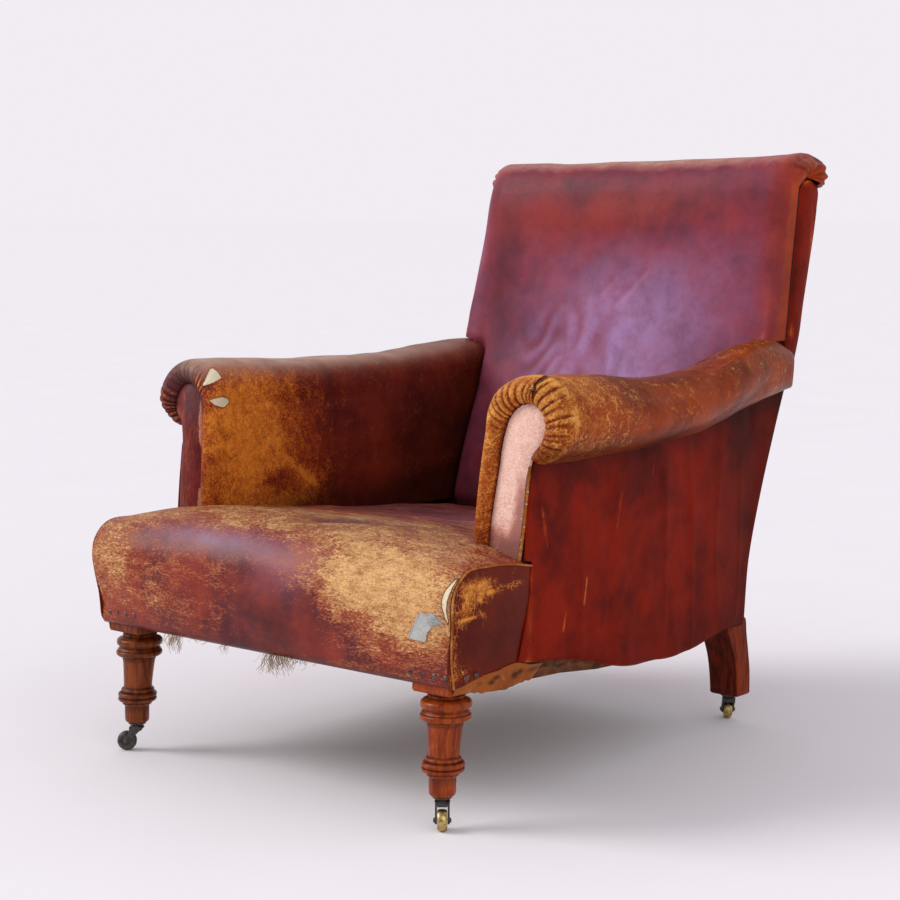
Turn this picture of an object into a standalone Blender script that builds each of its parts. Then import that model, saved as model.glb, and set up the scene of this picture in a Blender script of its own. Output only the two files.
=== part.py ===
"""Worn club chair: a low, leather-covered library armchair on four swivelling castors.

A beech frame (two turned front legs, two curved back legs that run up as back posts, rails, arm
posts and arm rails) carries a sprung seat and stuffed arms and back under thin leather covers.
Each piece is its own object. Units are metres, +Z is up, and the sitter faces -Y.

Depths (Y) below are measured from the line through the front feet. The empty "chair" moves
everything so that the origin is on the floor, under the middle of the bounding box.
"""

from math import cos, pi, radians, sin

import bmesh
import bpy
import numpy as np
from mathutils import Matrix, Vector

# ---------------------------------------------------------------- driving dimensions
MID_DEPTH = 0.4292  # from the front feet to the middle of the chair's depth
GAP = 0.0003  # left between pieces that touch
LEATHER = 0.0025
PADDING_GAP = 0.0006  # between a cover and the stuffing under it

FRONT_FOOT_X = 0.290
BACK_FOOT_X = 0.267
BACK_FOOT_Y = 0.701
CASTOR_HEIGHT = 0.042
WHEEL_RADIUS = 0.014
WHEEL_WIDTH = 0.013
WHEEL_SIDES = 16
CASTOR_TRAIL = 0.015
PIN_RADIUS = 0.003
PIN_TOP = 0.058
BORE_RADIUS = 0.0035  # in the leg, for the castor's pin
BORE_TOP = 0.062
AXLE_RADIUS = 0.0018
CHEEK_THICKNESS = 0.0022
CHEEK_CLEARANCE = 0.0005

LEG_SIDES = 16
LEG_LEAN = 0.077  # how far the front leg moves back for each metre up
BLOCK_SIZE = 0.064  # the square top of the front leg
BLOCK_BOTTOM = 0.1755
LEG_TOP = 0.155  # where the back leg enters the upholstery
POST_OUTER_X = 0.290  # of the back leg and of the post above it
POST_INNER_X = 0.244
POST_INNER_X_HIGH = 0.250  # above the arms
POST_TOP = 0.842
FOOT_CHAMFER = 0.003

RAIL_BOTTOM = 0.186  # at the front feet
RAIL_BOTTOM_SLOPE = -0.0445
RAIL_TOP = 0.262
RAIL_TOP_SLOPE = -0.025
RAIL_THICKNESS = 0.028
RAIL_LIP_THICKNESS = 0.005  # the outer edge of a side rail hangs lower, to these depths and heights
RAIL_LIP = ((0.080, 0.1730), (0.142, 0.1710), (0.206, 0.1670), (0.296, 0.1560), (0.342, 0.1535), (0.400, 0.1530),
            (0.450, 0.1545))  # fmt: skip

SIDE_X_FRONT = 0.3313  # outer face of the side leather at y = 0.04
SIDE_X_BACK = 0.2948  # the same at y = 0.70
PANEL_THICKNESS = 0.0045
OUTSIDE_BACK_THICKNESS = 0.003

SEAT_HALF_WIDTH = 0.2545  # between the arms
WING_HALF_WIDTH = 0.3265  # in front of the arms
WING_END_Y = 0.114
GUSSET_THICKNESS = 0.003

FACING_THICKNESS = 0.008
ARM_INNER_X = 0.257
ROLL_END = 0.034  # how far the arm's roll runs on beside the back post

BACK_HALF_LOW = 0.2500  # between the arms
BACK_HALF_HIGH = 0.2980  # above the arms
BACK_SHOULDER_Z = 0.590
SIDE_STRIP_THICKNESS = 0.003

SPRING_PLACES_X = (-0.15, 0.0, 0.15)
SPRING_PLACES_Y = (0.14, 0.33, 0.52)
SPRING_RADIUS = 0.042
SPRING_WAIST = 0.027
SPRING_WIRE = 0.0018
SPRING_TURNS = 4.0
CANVAS_RISE = 0.034  # of the spring canvas above the rails
CANVAS_HALF_WIDTH = 0.2435
CANVAS_FRONT_Y = -0.014
CANVAS_BACK_Y = 0.659
CANVAS_STEPS = (0.0, 0.82, 0.95, 1.0)  # from the middle to the edge
CANVAS_SHARES = (1.0, 1.0, 0.5, 0.0)  # of the rise, at those steps
STRAP_WIDTH = 0.050
STRAP_THICKNESS = 0.002

# Which way each castor trails at rest, in degrees from +X.
CASTORS = {
    "front_left": (-FRONT_FOOT_X, 0.0, 220.0),
    "front_right": (FRONT_FOOT_X, 0.0, -50.0),
    "back_left": (-BACK_FOOT_X, BACK_FOOT_Y, 160.0),
    "back_right": (BACK_FOOT_X, BACK_FOOT_Y, 130.0),
}


# ---------------------------------------------------------------- curves of the frame
def rail_bottom(y):
    return RAIL_BOTTOM + RAIL_BOTTOM_SLOPE * y


def rail_top(y):
    return RAIL_TOP + RAIL_TOP_SLOPE * y


def side_x(y):
    """Outer face of the leather down the chair's side, which narrows as far as the back leg."""
    return np.interp(y, (0.04, 0.70), (SIDE_X_FRONT, SIDE_X_BACK))


def rear_y(z):
    """Outer face of the leather down the chair's back."""
    heights = (0.155, 0.25, 0.36, 0.46, 0.55, 0.68, 0.81)
    depths = (0.6985, 0.710, 0.745, 0.785, 0.820, 0.850, 0.876)
    return np.interp(z, heights, depths)


def post_front_y(z):
    """Front face of the back leg and of the post that it runs up into."""
    heights = (0.042, 0.101, 0.134, 0.155, 0.25, 0.30, 0.36, 0.46, 0.55, 0.68, 0.85)
    depths = (0.6825, 0.674, 0.660, 0.643, 0.655, 0.680, 0.705, 0.738, 0.775, 0.805, 0.832)
    return np.interp(z, heights, depths)


def post_rear_y(z):
    """Rear face of the back leg, just inside the rear leather above the rails."""
    if z >= LEG_TOP:
        return rear_y(z) - OUTSIDE_BACK_THICKNESS - GAP
    return np.interp(z, (0.042, 0.111, 0.151), (0.7195, 0.708, 0.6955))


def leg_y(z):
    """Middle of the front leg, which stands upright as far as its bore and leans back above it."""
    return LEG_LEAN * max(0.0, z - BORE_TOP)


def facing_y(z):
    """Front face of the arm facings, which lean back."""
    return 0.118 + 0.118 * (z - 0.33)


# ---------------------------------------------------------------- small tools
def smooth(points, count):
    """count points at even spacing along a smooth curve through the given points."""
    points = np.array(points, float)
    steps = np.linalg.norm(np.diff(points, axis=0), axis=1)
    knots = np.concatenate([[0.0], np.cumsum(steps)])
    slopes = np.gradient(points, knots, axis=0)
    fine = np.linspace(0.0, knots[-1], 40 * len(points))
    left = np.clip(np.searchsorted(knots, fine) - 1, 0, len(points) - 2)
    width = (knots[left + 1] - knots[left])[:, None]
    u = (fine[:, None] - knots[left][:, None]) / width
    curve = (
        (2 * u**3 - 3 * u**2 + 1) * points[left]
        + (u**3 - 2 * u**2 + u) * width * slopes[left]
        + (3 * u**2 - 2 * u**3) * points[left + 1]
        + (u**3 - u**2) * width * slopes[left + 1]
    )
    run = np.concatenate([[0.0], np.cumsum(np.linalg.norm(np.diff(curve, axis=0), axis=1))])
    even = np.linspace(0.0, run[-1], count)
    return np.stack([np.interp(even, run, curve[:, k]) for k in range(points.shape[1])], axis=1)


def sunk(grid, depth):
    """The grid moved inwards by this depth. Rows run back or up, and columns to the right."""
    across = np.gradient(grid, axis=0)
    along = np.gradient(grid, axis=1)
    normal = np.cross(across, along)
    normal /= np.linalg.norm(normal, axis=2, keepdims=True)
    return grid + normal * depth


def mirrored(points, side):
    """The points as they are on the right (side 1), or mirrored to the left (side -1)."""
    return np.array(points, float) * (side, 1.0, 1.0)


def material(name, colour, roughness, metallic=0.0):
    found = bpy.data.materials.get(name) or bpy.data.materials.new(name)
    found.use_nodes = True
    shader = found.node_tree.nodes["Principled BSDF"]
    shader.inputs["Base Color"].default_value = (*colour, 1.0)
    shader.inputs["Roughness"].default_value = roughness
    shader.inputs["Metallic"].default_value = metallic
    found.diffuse_color = (*colour, 1.0)
    return found


def new_object(name, bm, surface, parent, round_piece=False):
    """Turns the bmesh into an object with its faces pointing out, hung under the parent."""
    bmesh.ops.recalc_face_normals(bm, faces=bm.faces)
    mesh = bpy.data.meshes.new(name)
    bm.to_mesh(mesh)
    bm.free()
    if round_piece:
        mesh.shade_smooth()
        mesh.set_sharp_from_angle(angle=radians(35))
    mesh.materials.append(surface)
    made = bpy.data.objects.new(name, mesh)
    made.parent = parent
    bpy.context.scene.collection.objects.link(made)
    return made


def new_empty(name, parent=None, location=(0, 0, 0), turn=0.0):
    made = bpy.data.objects.new(name, None)
    made.parent = parent
    made.location = location
    made.rotation_euler = (0, 0, turn)
    bpy.context.scene.collection.objects.link(made)
    return made


def loft(bm, rings, closed_ends=True):
    """Joins rings of equally many points, in order, with faces. A ring of one point is a tip."""
    rows = [[bm.verts.new(point) for point in ring] for ring in rings]
    for lower, upper in zip(rows, rows[1:]):
        count = max(len(lower), len(upper))
        for k in range(count):
            corners = [lower[k % len(lower)], lower[(k + 1) % len(lower)]]
            corners += [upper[(k + 1) % len(upper)], upper[k % len(upper)]]
            bm.faces.new(list(dict.fromkeys(corners)))
    if closed_ends:
        for end in (rows[0], rows[-1]):
            if len(end) > 2:
                bm.faces.new(end)


def slab(name, outer, inner, surface, parent, keep=None):
    """Closed body between two grids of points. keep[row][column] is False where a cell is cut."""
    rows, columns = outer.shape[:2]
    if keep is None:
        keep = np.ones((rows - 1, columns - 1), bool)
    bm = bmesh.new()
    top = [[bm.verts.new(outer[i, j]) for j in range(columns)] for i in range(rows)]
    low = [[bm.verts.new(inner[i, j]) for j in range(columns)] for i in range(rows)]

    def kept(i, j):
        return 0 <= i < rows - 1 and 0 <= j < columns - 1 and keep[i][j]

    for i in range(rows - 1):
        for j in range(columns - 1):
            if not keep[i][j]:
                continue
            around = [(i, j), (i + 1, j), (i + 1, j + 1), (i, j + 1)]
            beyond = [(i, j - 1), (i + 1, j), (i, j + 1), (i - 1, j)]
            for split in ((0, 1, 2), (0, 2, 3)):
                # Both layers split along the same diagonal, so that they stay parallel.
                corners = [around[k] for k in split]
                bm.faces.new([top[a][b] for a, b in corners])
                bm.faces.new([low[a][b] for a, b in reversed(corners)])
            for k in range(4):
                if kept(*beyond[k]):
                    continue
                (a, b), (c, d) = around[k], around[(k + 1) % 4]
                bm.faces.new([top[a][b], low[a][b], low[c][d], top[c][d]])
    loose = [vert for vert in bm.verts if not vert.link_faces]
    bmesh.ops.delete(bm, geom=loose, context="VERTS")
    return new_object(name, bm, surface, parent)


def plate(name, outline, place, surface, parent):
    """Flat or bent plate: place(a, b, side) gives the point of outline (a, b) on side 0 or 1."""
    bm = bmesh.new()
    loft(bm, [[place(a, b, side) for a, b in outline] for side in (0, 1)])
    return new_object(name, bm, surface, parent)


def box(name, lower, upper, surface, parent):
    """Six-sided board between a lower and an upper ring of four corners."""
    bm = bmesh.new()
    loft(bm, [lower, upper])
    return new_object(name, bm, surface, parent)


def turned(bm, profile, sides, start=0.0):
    """Revolves (radius, height) points about Z. A radius of 0 closes the body."""
    turns = [start + 2 * pi * k / sides for k in range(sides)]
    rings = []
    for radius, height in profile:
        if radius == 0:
            rings.append([Vector((0, 0, height))])
        else:
            rings.append([Vector((radius * cos(t), radius * sin(t), height)) for t in turns])
    loft(bm, rings, closed_ends=False)


def turned_ring(bm, profile, sides, start=0.0):
    """Revolves a closed outline that stays clear of the axis, as for a washer or a wheel."""
    turned(bm, list(profile) + [profile[0]], sides, start)
    bmesh.ops.remove_doubles(bm, verts=bm.verts, dist=1e-6)


# ---------------------------------------------------------------- frame
def front_leg(name, side, surface, parent):
    """Turned leg and the square block above it in one piece, bored below for the castor's pin."""
    profile = [
        (0, BORE_TOP),
        (BORE_RADIUS, BORE_TOP),
        (BORE_RADIUS, CASTOR_HEIGHT),
        (0.0140, CASTOR_HEIGHT),
        (0.0172, CASTOR_HEIGHT + 0.005),
        (0.0172, 0.0665),
        (0.0240, 0.0710),
        (0.0275, 0.0755),
        (0.0275, 0.0805),
        (0.0215, 0.0900),
        (0.0200, 0.0940),
        (0.0225, 0.1310),
        (0.0250, 0.1350),
        (0.0325, 0.1430),
        (0.0268, 0.1500),
        (0.0315, 0.1530),
        (0.0315, 0.1590),
        (0.0230, 0.1640),
        (0.0230, 0.1735),
    ]
    turns = [2 * pi * k / LEG_SIDES for k in range(LEG_SIDES)]

    rings = []
    for radius, height in profile:
        middle = Vector((0, leg_y(height), height))
        if radius == 0:
            rings.append([middle])
        else:
            rings.append([middle + Vector((radius * cos(t), radius * sin(t), 0)) for t in turns])
    half = BLOCK_SIZE / 2
    for height in (BLOCK_BOTTOM, RAIL_TOP):
        middle = Vector((0, leg_y(height), height))
        square = []
        for t in turns:
            reach = half / max(abs(cos(t)), abs(sin(t)))
            corner = Vector((reach * cos(t), reach * sin(t), 0))
            square.append(middle + corner)
        rings.append(square)
    bm = bmesh.new()
    loft(bm, rings, closed_ends=False)
    bm.faces.new(bm.verts[-LEG_SIDES:])
    made = new_object(name, bm, surface, parent, round_piece=True)
    made.location = (side * FRONT_FOOT_X, 0, 0)
    return made


def back_leg(name, side, surface, parent):
    """Curved back leg that runs up as the back post, in one piece."""
    heights = (CASTOR_HEIGHT, 0.075, 0.101, 0.134, LEG_TOP, 0.20, 0.25, 0.30, 0.36, 0.46, 0.55, 0.68)
    heights += (POST_TOP,)
    rings = []
    for z in heights:
        outer = POST_OUTER_X
        inner = POST_INNER_X if z < 0.5 else POST_INNER_X_HIGH
        front, rear = post_front_y(z), post_rear_y(z)
        if z == CASTOR_HEIGHT:
            outer, inner = outer - FOOT_CHAMFER, inner + FOOT_CHAMFER
            front, rear = front + FOOT_CHAMFER, rear - FOOT_CHAMFER
        corners = [(inner, front, z), (outer, front, z), (outer, rear, z), (inner, rear, z)]
        rings.append([Vector(corner) for corner in mirrored(corners, side)])
    bm = bmesh.new()
    loft(bm, rings)
    made = new_object(name, bm, surface, parent)

    cutter_bm = bmesh.new()
    below = CASTOR_HEIGHT - 0.010
    bore = [(0, BORE_TOP), (BORE_RADIUS, BORE_TOP), (BORE_RADIUS, below), (0, below)]
    turned(cutter_bm, bore, LEG_SIDES)
    cutter = new_object(name + "_pin_bore", cutter_bm, surface, parent)
    cutter.location = (side * BACK_FOOT_X, BACK_FOOT_Y, 0)
    cutter.hide_render = True
    cutter.display_type = "WIRE"
    cut = made.modifiers.new("pin_bore", "BOOLEAN")
    cut.operation = "DIFFERENCE"
    cut.solver = "EXACT"
    cut.object = cutter
    return made


def seat_rails(surface, parent):
    """Front and back rails between the legs, and side rails that follow the narrowing sides."""
    block = FRONT_FOOT_X - BLOCK_SIZE / 2 - GAP
    post = POST_INNER_X - GAP
    for name, half, front, rear in (
        ("front_rail", block, -0.0165, 0.0115),
        ("back_rail", post, 0.646, 0.674),
    ):
        plan = [(-half, front), (half, front), (half, rear), (-half, rear)]
        lower = [(x, y, rail_bottom(y)) for x, y in plan]
        upper = [(x, y, rail_top(y)) for x, y in plan]
        box(name, lower, upper, surface, parent)

    stations = [(0.045, RAIL_LIP[0][1]), *RAIL_LIP, (0.470, rail_bottom(0.470)), (0.640, rail_bottom(0.640))]
    for name, side in (("side_rail_left", -1), ("side_rail_right", 1)):
        rings = []
        for k, (station, lip) in enumerate(stations):
            low, high = rail_bottom(station), rail_top(station)
            corners = [(RAIL_THICKNESS, low), (RAIL_LIP_THICKNESS, low), (RAIL_LIP_THICKNESS, lip)]
            corners += [(0, lip), (0, high), (RAIL_THICKNESS, high)]
            ring = []
            for inset, z in corners:
                y = station
                if k == 0:
                    y = leg_y(z) + BLOCK_SIZE / 2 + GAP
                elif k == len(stations) - 1:
                    y = post_front_y(z) - 2 * GAP
                ring.append(Vector((side * (side_x(y) - PANEL_THICKNESS - GAP - inset), y, z)))
            rings.append(ring)
        bm = bmesh.new()
        loft(bm, rings)
        # Behind its lip the rail's section has two corners in one place.
        bmesh.ops.remove_doubles(bm, verts=bm.verts, dist=1e-6)
        new_object(name, bm, surface, parent)


def upper_frame(surface, parent):
    """Arm posts, arm rails, the rail behind the seat and the crest rail."""
    for name, side in (("left", -1), ("right", 1)):
        rings = []
        for z, inner in ((rail_top(0.13) + GAP, 0.2795), (0.4768, 0.2935)):
            front = facing_y(z) + FACING_THICKNESS + GAP
            rear = front + 0.030
            outer = side_x(rear) - PANEL_THICKNESS - 2 * GAP
            corners = [(inner, front, z), (outer, front, z), (outer, rear, z), (inner, rear, z)]
            rings.append(mirrored(corners, side))
        box("arm_post_" + name, rings[0], rings[1], surface, parent)

        start = facing_y(0.480) + FACING_THICKNESS + GAP
        # Each station of the arm rail: depth, inner x, outer x, lower z, upper z.
        stations = (
            (start, 0.302, 0.345, 0.480, 0.512),
            (0.400, 0.299, 0.341, 0.475, 0.503),
            (0.700, 0.2903, 0.318, 0.511, 0.537),
            (0.785, 0.2903, 0.311, 0.518, 0.540),
        )
        rings = []
        for y, inner, outer, low, high in stations:
            # The front end leans with the facing that covers it.
            lean = facing_y(high) - facing_y(low) if y == start else 0.0
            top_y = y + lean
            corners = [(inner, y, low), (outer, y, low), (outer, top_y, high), (inner, top_y, high)]
            rings.append(mirrored(corners, side))
        bm = bmesh.new()
        loft(bm, rings)
        new_object("arm_rail_" + name, bm, surface, parent)

    for name, low, high, half, depth in (
        ("lower_back_rail", 0.262, 0.300, POST_INNER_X - GAP, 0.024),
        ("crest_rail", 0.800, POST_TOP, POST_INNER_X_HIGH - GAP, 0.030),
    ):
        rings = []
        for z in (low, high):
            front = post_front_y(z)
            plan = [(-half, front), (half, front), (half, front + depth), (-half, front + depth)]
            rings.append([(x, y, z) for x, y in plan])
        box(name, rings[0], rings[1], surface, parent)


# ---------------------------------------------------------------- castors
def castor(name, x, y, heading, brass, iron, parent):
    """Round plate on the foot, a horn that swivels on its own pin, and a wheel on an axle."""
    foot = new_empty("castor_foot_" + name, parent, (x, y, 0))
    low, high = CASTOR_HEIGHT - GAP - 0.003, CASTOR_HEIGHT - GAP
    inner, outer = PIN_RADIUS + 0.0004, 0.0125
    bm = bmesh.new()
    outline = [(inner, low), (outer, low), (outer, high), (inner, high)]
    turned_ring(bm, outline, LEG_SIDES)
    new_object("castor_plate_" + name, bm, brass, foot, round_piece=True)

    swivel = new_empty("castor_swivel_" + name, foot, turn=radians(heading))
    horn(name, iron, swivel, low - GAP)

    hub = new_empty("castor_hub_" + name, swivel, (CASTOR_TRAIL, 0, WHEEL_RADIUS))
    hub.rotation_euler = (radians(90), 0, 0)
    axle_half = WHEEL_WIDTH / 2 + 0.0002
    bm = bmesh.new()
    axle = [(0, -axle_half), (AXLE_RADIUS, -axle_half), (AXLE_RADIUS, axle_half), (0, axle_half)]
    turned(bm, axle, 10)
    new_object("castor_axle_" + name, bm, iron, hub, round_piece=True)

    half_step = pi / WHEEL_SIDES
    corner = WHEEL_RADIUS / cos(half_step)
    bore = AXLE_RADIUS + 0.0004
    # Half of the wheel's section, from its bore out to the middle of the tread.
    section = [(bore, WHEEL_WIDTH / 2), (0.0095, WHEEL_WIDTH / 2), (0.0125, 0.0052), (corner, 0.0025)]
    outline = [(radius, -across) for radius, across in section] + section[::-1]
    bm = bmesh.new()
    turned_ring(bm, outline, WHEEL_SIDES, start=half_step)
    new_object("castor_wheel_" + name, bm, brass, hub, round_piece=True)


def horn(name, surface, parent, top):
    """Cast fork: a crown and its pin on the swivel axis, with a cheek on each side of the wheel."""
    low, crown = 0.0322, 0.0100
    bm = bmesh.new()
    profile = [(0, low), (crown, low), (crown, top), (PIN_RADIUS, top), (PIN_RADIUS, PIN_TOP), (0, PIN_TOP)]
    turned(bm, profile, 12)
    made = new_object("castor_horn_" + name, bm, surface, parent, round_piece=True)
    inner = WHEEL_WIDTH / 2 + CHEEK_CLEARANCE
    outline = [(-0.0070, 0.0350), (0.0070, 0.0350), (0.0120, 0.0250)]
    for k in range(5):
        turn = radians(40 - 65 * k)
        outline.append((CASTOR_TRAIL + 0.005 * cos(turn), WHEEL_RADIUS + 0.005 * sin(turn)))
    outline.append((-0.0020, 0.0250))
    for side in (-1, 1):

        def place(a, b, outer):
            return Vector((a, side * (inner + CHEEK_THICKNESS * outer), b))

        cheek = plate(name + "_cheek", outline, place, surface, parent)
        cheek.hide_render = True
        cheek.display_type = "WIRE"
        join = made.modifiers.new("cheek", "BOOLEAN")
        join.operation = "UNION"
        join.solver = "EXACT"
        join.object = cheek


# ---------------------------------------------------------------- seat
def canvas_top(x, y):
    """Upper face of the spring canvas: lifted by the springs, tacked down at the rails."""
    base = rail_top(y) + GAP + STRAP_THICKNESS
    across = np.interp(abs(x) / CANVAS_HALF_WIDTH, CANVAS_STEPS, CANVAS_SHARES)
    middle_y = (CANVAS_FRONT_Y + CANVAS_BACK_Y) / 2
    from_middle = abs(y - middle_y) / (CANVAS_BACK_Y - middle_y)
    along = np.interp(from_middle, CANVAS_STEPS, CANVAS_SHARES)
    return base + CANVAS_RISE * across * along


def lattice(name, xs, vs, keep_column, keep_row, point, surface, parent):
    """Crossed webbing straps as one flat piece, with the gaps between the straps left open."""
    faces = []
    for side in (0, 1):
        faces.append(np.array([[point(x, v, side) for x in xs] for v in vs], float))
    keep = [[bool(column or row) for column in keep_column] for row in keep_row]
    return slab(name, faces[0], faces[1], surface, parent, keep)


def seat_webbing(surface, parent):
    half = STRAP_WIDTH / 2
    xs, ys = [-0.298], [-0.010]
    for place in SPRING_PLACES_X:
        xs += [place - half, place + half]
    for place in SPRING_PLACES_Y:
        ys += [place - half, place + half]
    xs.append(0.298)
    ys.append(0.672)
    columns = [k % 2 for k in range(len(xs) - 1)]
    rows = [k % 2 for k in range(len(ys) - 1)]

    def point(x, y, side):
        return (x, y, rail_bottom(y) - GAP - side * STRAP_THICKNESS)

    lattice("seat_webbing", xs, ys, columns, rows, point, surface, parent)


def seat_spring(name, x, y, surface, parent):
    """Waisted coil that stands on the webbing, square to it, and carries the canvas."""
    tilt = Matrix.Rotation(np.arctan(RAIL_BOTTOM_SLOPE), 3, "X")
    foot = Vector((x, y, rail_bottom(y)))
    rim = [2 * pi * k / 16 for k in range(16)]
    room = min(
        canvas_top(x + SPRING_RADIUS * cos(t), y + SPRING_RADIUS * sin(t))
        - rail_bottom(y + SPRING_RADIUS * sin(t))
        for t in rim
    )
    height = room - STRAP_THICKNESS - 2 * GAP - 2 * SPRING_WIRE
    per_turn = 8
    count = int(SPRING_TURNS * per_turn)
    curve = bpy.data.curves.new(name, "CURVE")
    curve.dimensions = "3D"
    curve.bevel_depth = SPRING_WIRE
    curve.bevel_resolution = 0
    curve.use_fill_caps = True
    wire = curve.splines.new("POLY")
    wire.points.add(count)
    for k in range(count + 1):
        turn = 2 * pi * k / per_turn
        run = k / count
        # The end turns lie flat, and the rest climb evenly.
        climb = min(1.0, max(0.0, (run * SPRING_TURNS - 0.8) / (SPRING_TURNS - 1.6)))
        radius = SPRING_WAIST + (SPRING_RADIUS - SPRING_WAIST) * abs(2 * climb - 1)
        local = Vector((radius * cos(turn), radius * sin(turn), SPRING_WIRE + climb * height))
        if climb in (0.0, 1.0):
            # A flat end turn winds slightly inwards, clear of the turn that follows it.
            local.x *= 1 - 0.10 * abs(run - round(run)) * SPRING_TURNS
            local.y *= 1 - 0.10 * abs(run - round(run)) * SPRING_TURNS
        wire.points[k].co = (*(foot + tilt @ local), 1.0)
    curve.materials.append(surface)
    made = bpy.data.objects.new(name, curve)
    made.parent = parent
    bpy.context.scene.collection.objects.link(made)


def spring_canvas(surface, parent):
    steps = [-share for share in reversed(CANVAS_STEPS)] + list(CANVAS_STEPS[1:])
    xs = CANVAS_HALF_WIDTH * np.array(steps)
    ys = np.interp(steps, (-1, 1), (CANVAS_FRONT_Y, CANVAS_BACK_Y))
    top = np.array([[(x, y, canvas_top(x, y)) for x in xs] for y in ys])
    under = top - (0, 0, STRAP_THICKNESS)
    slab("spring_canvas", top, under, surface, parent)


def seat_grid(xs, rows):
    """Outer face of the seat leather: up the front, over the roll and back to the inside back."""
    middle = [
        (-0.0300, 0.190), (-0.0400, 0.215), (-0.0430, 0.262), (-0.0340, 0.312),
        (-0.0050, 0.345), (0.0450, 0.359), (0.1100, 0.358),
    ]  # fmt: skip
    edge = [
        (-0.0280, 0.190), (-0.0285, 0.215), (-0.0280, 0.262), (-0.0230, 0.308),
        (-0.0050, 0.328), (0.0450, 0.333), (0.1100, 0.327),
    ]  # fmt: skip
    front_rows = rows - 6
    middle, edge = smooth(middle, front_rows), smooth(edge, front_rows)
    middle[-1, 0] = edge[-1, 0] = WING_END_Y
    back = [
        (0.170, 0.350, 0.338), (0.280, 0.334, 0.329), (0.400, 0.318, 0.317),
        (0.520, 0.304, 0.307), (0.600, 0.295, 0.299), (0.645, 0.290, 0.293),
    ]  # fmt: skip
    grid = np.zeros((rows, len(xs), 3))
    for j, x in enumerate(xs):
        crown = 1 - min(1.0, abs(x) / 0.330) ** 4
        for i in range(front_rows):
            y, z = edge[i] + crown * (middle[i] - edge[i])
            grid[i, j] = (x, y, z)
        share = 1 - min(1.0, abs(x) / SEAT_HALF_WIDTH) ** 2.2
        for i, (y, inside, outside) in enumerate(back):
            grid[front_rows + i, j] = (x, y, outside + share * (inside - outside))
    return grid


def seat(leather, stuffing, parent):
    """Seat stuffing and its cover. Both are T-shaped: wide in front, narrow between the arms."""
    rows = 14
    narrow = np.linspace(-SEAT_HALF_WIDTH, SEAT_HALF_WIDTH, 9)
    wing = [0.290, WING_HALF_WIDTH]
    xs = np.array([-x for x in reversed(wing)] + list(narrow) + wing)
    front_rows = rows - 6
    keep = np.ones((rows - 1, len(xs) - 1), bool)
    keep[front_rows - 1 :, : len(wing)] = False
    keep[front_rows - 1 :, -len(wing) :] = False

    outer = seat_grid(xs, rows)
    slab("seat_cover", outer, sunk(outer, LEATHER), leather, parent, keep)

    filling = sunk(outer, LEATHER + PADDING_GAP)
    inner = filling.copy()
    face_y = -0.0235  # just in front of the front rail and the blocks
    face_rows = 4  # grid rows up that face
    for j, x in enumerate(xs):
        for i in range(rows):
            if i < face_rows:
                y, z = face_y, np.interp(i, (0, face_rows - 1), (0.194, rail_top(0) + 0.003))
            else:
                y = filling[i, j, 1]
                if i < front_rows:
                    y = np.interp(i, (face_rows - 1, front_rows - 1), (face_y, WING_END_Y))
                rise = CANVAS_RISE + PADDING_GAP if abs(x) <= SEAT_HALF_WIDTH else 0.0
                z = rail_top(y) + GAP + STRAP_THICKNESS + rise
            inner[i, j] = (x, y, z)
    slab("seat_stuffing", filling, inner, stuffing, parent, keep)


def gussets(leather, parent):
    """Leather side pieces that close the seat's front corners."""
    top = [(-0.0275, 0.262), (-0.0225, 0.308), (-0.004, 0.3275), (0.045, 0.332), (0.128, 0.3225)]
    outline = [(0.103, 0.200), (-0.0275, 0.192), *map(tuple, smooth(top, 9)), (0.127, 0.277)]
    for name, side in (("seat_gusset_left", -1), ("seat_gusset_right", 1)):

        def place(y, z, outer):
            x = WING_HALF_WIDTH + GAP + outer * GUSSET_THICKNESS
            return Vector((side * x, y, z))

        plate(name, outline, place, leather, parent)


# ---------------------------------------------------------------- arms
# Front view of the right arm facing: up the inner edge, over the head, in to the neck.
FACING_STEM = [(0.277, 0.345), (0.279, 0.377), (0.286, 0.443), (0.292, 0.495)]
FACING_HEAD = [
    (0.2920, 0.495), (0.3000, 0.514), (0.3190, 0.5295), (0.3420, 0.5295), (0.3560, 0.519),
    (0.3625, 0.499), (0.3560, 0.4815), (0.3430, 0.4725), (0.3340, 0.4630), (0.3300, 0.452),
]  # fmt: skip
HEAD_MIDDLE = (0.3265, 0.509)  # of the roll at the front
ROLL_HALF = (0.0695, 0.0570)
CURL_DEPTH = 0.012  # from the facing back to where the arm is at its full size
CURL_BULGE = 0.020  # of the turned-in front, forwards from there
STEM_POINTS = 4
HEAD_POINTS = 11


def arm_station(share):
    """Middle and half sizes of the arm roll: share 0 is the front and 1 the back end."""
    places = (0.0, 0.15, 0.40, 0.60, 0.80, 0.92, 1.0)
    top = np.interp(share, places, (0.566, 0.561, 0.547, 0.554, 0.582, 0.580, 0.565))
    low = np.interp(share, places, (0.452, 0.451, 0.455, 0.465, 0.488, 0.498, 0.505))
    outer = np.interp(share, places, (0.396, 0.394, 0.388, 0.381, 0.370, 0.357, 0.345))
    middle_x = (outer + ARM_INNER_X) / 2
    return middle_x, (top + low) / 2, outer - middle_x, (top - low) / 2


def roll_profile(share, bottom):
    """Outside of the arm: up the inner face, over the roll and round to the neck."""
    x, z, half_x, half_z = arm_station(share)
    points = [(ARM_INNER_X, bottom + (z - bottom) * k / (STEM_POINTS - 1)) for k in range(STEM_POINTS)]
    for k in range(1, HEAD_POINTS):
        turn = radians(180 - 262 * k / (HEAD_POINTS - 1))
        points.append((x + half_x * cos(turn), z + half_z * sin(turn)))
    neck = side_x(0.13 + 0.6 * share) + 0.002
    points[-1] = (max(neck, points[-1][0]), points[-1][1])
    return np.array(points)


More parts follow.
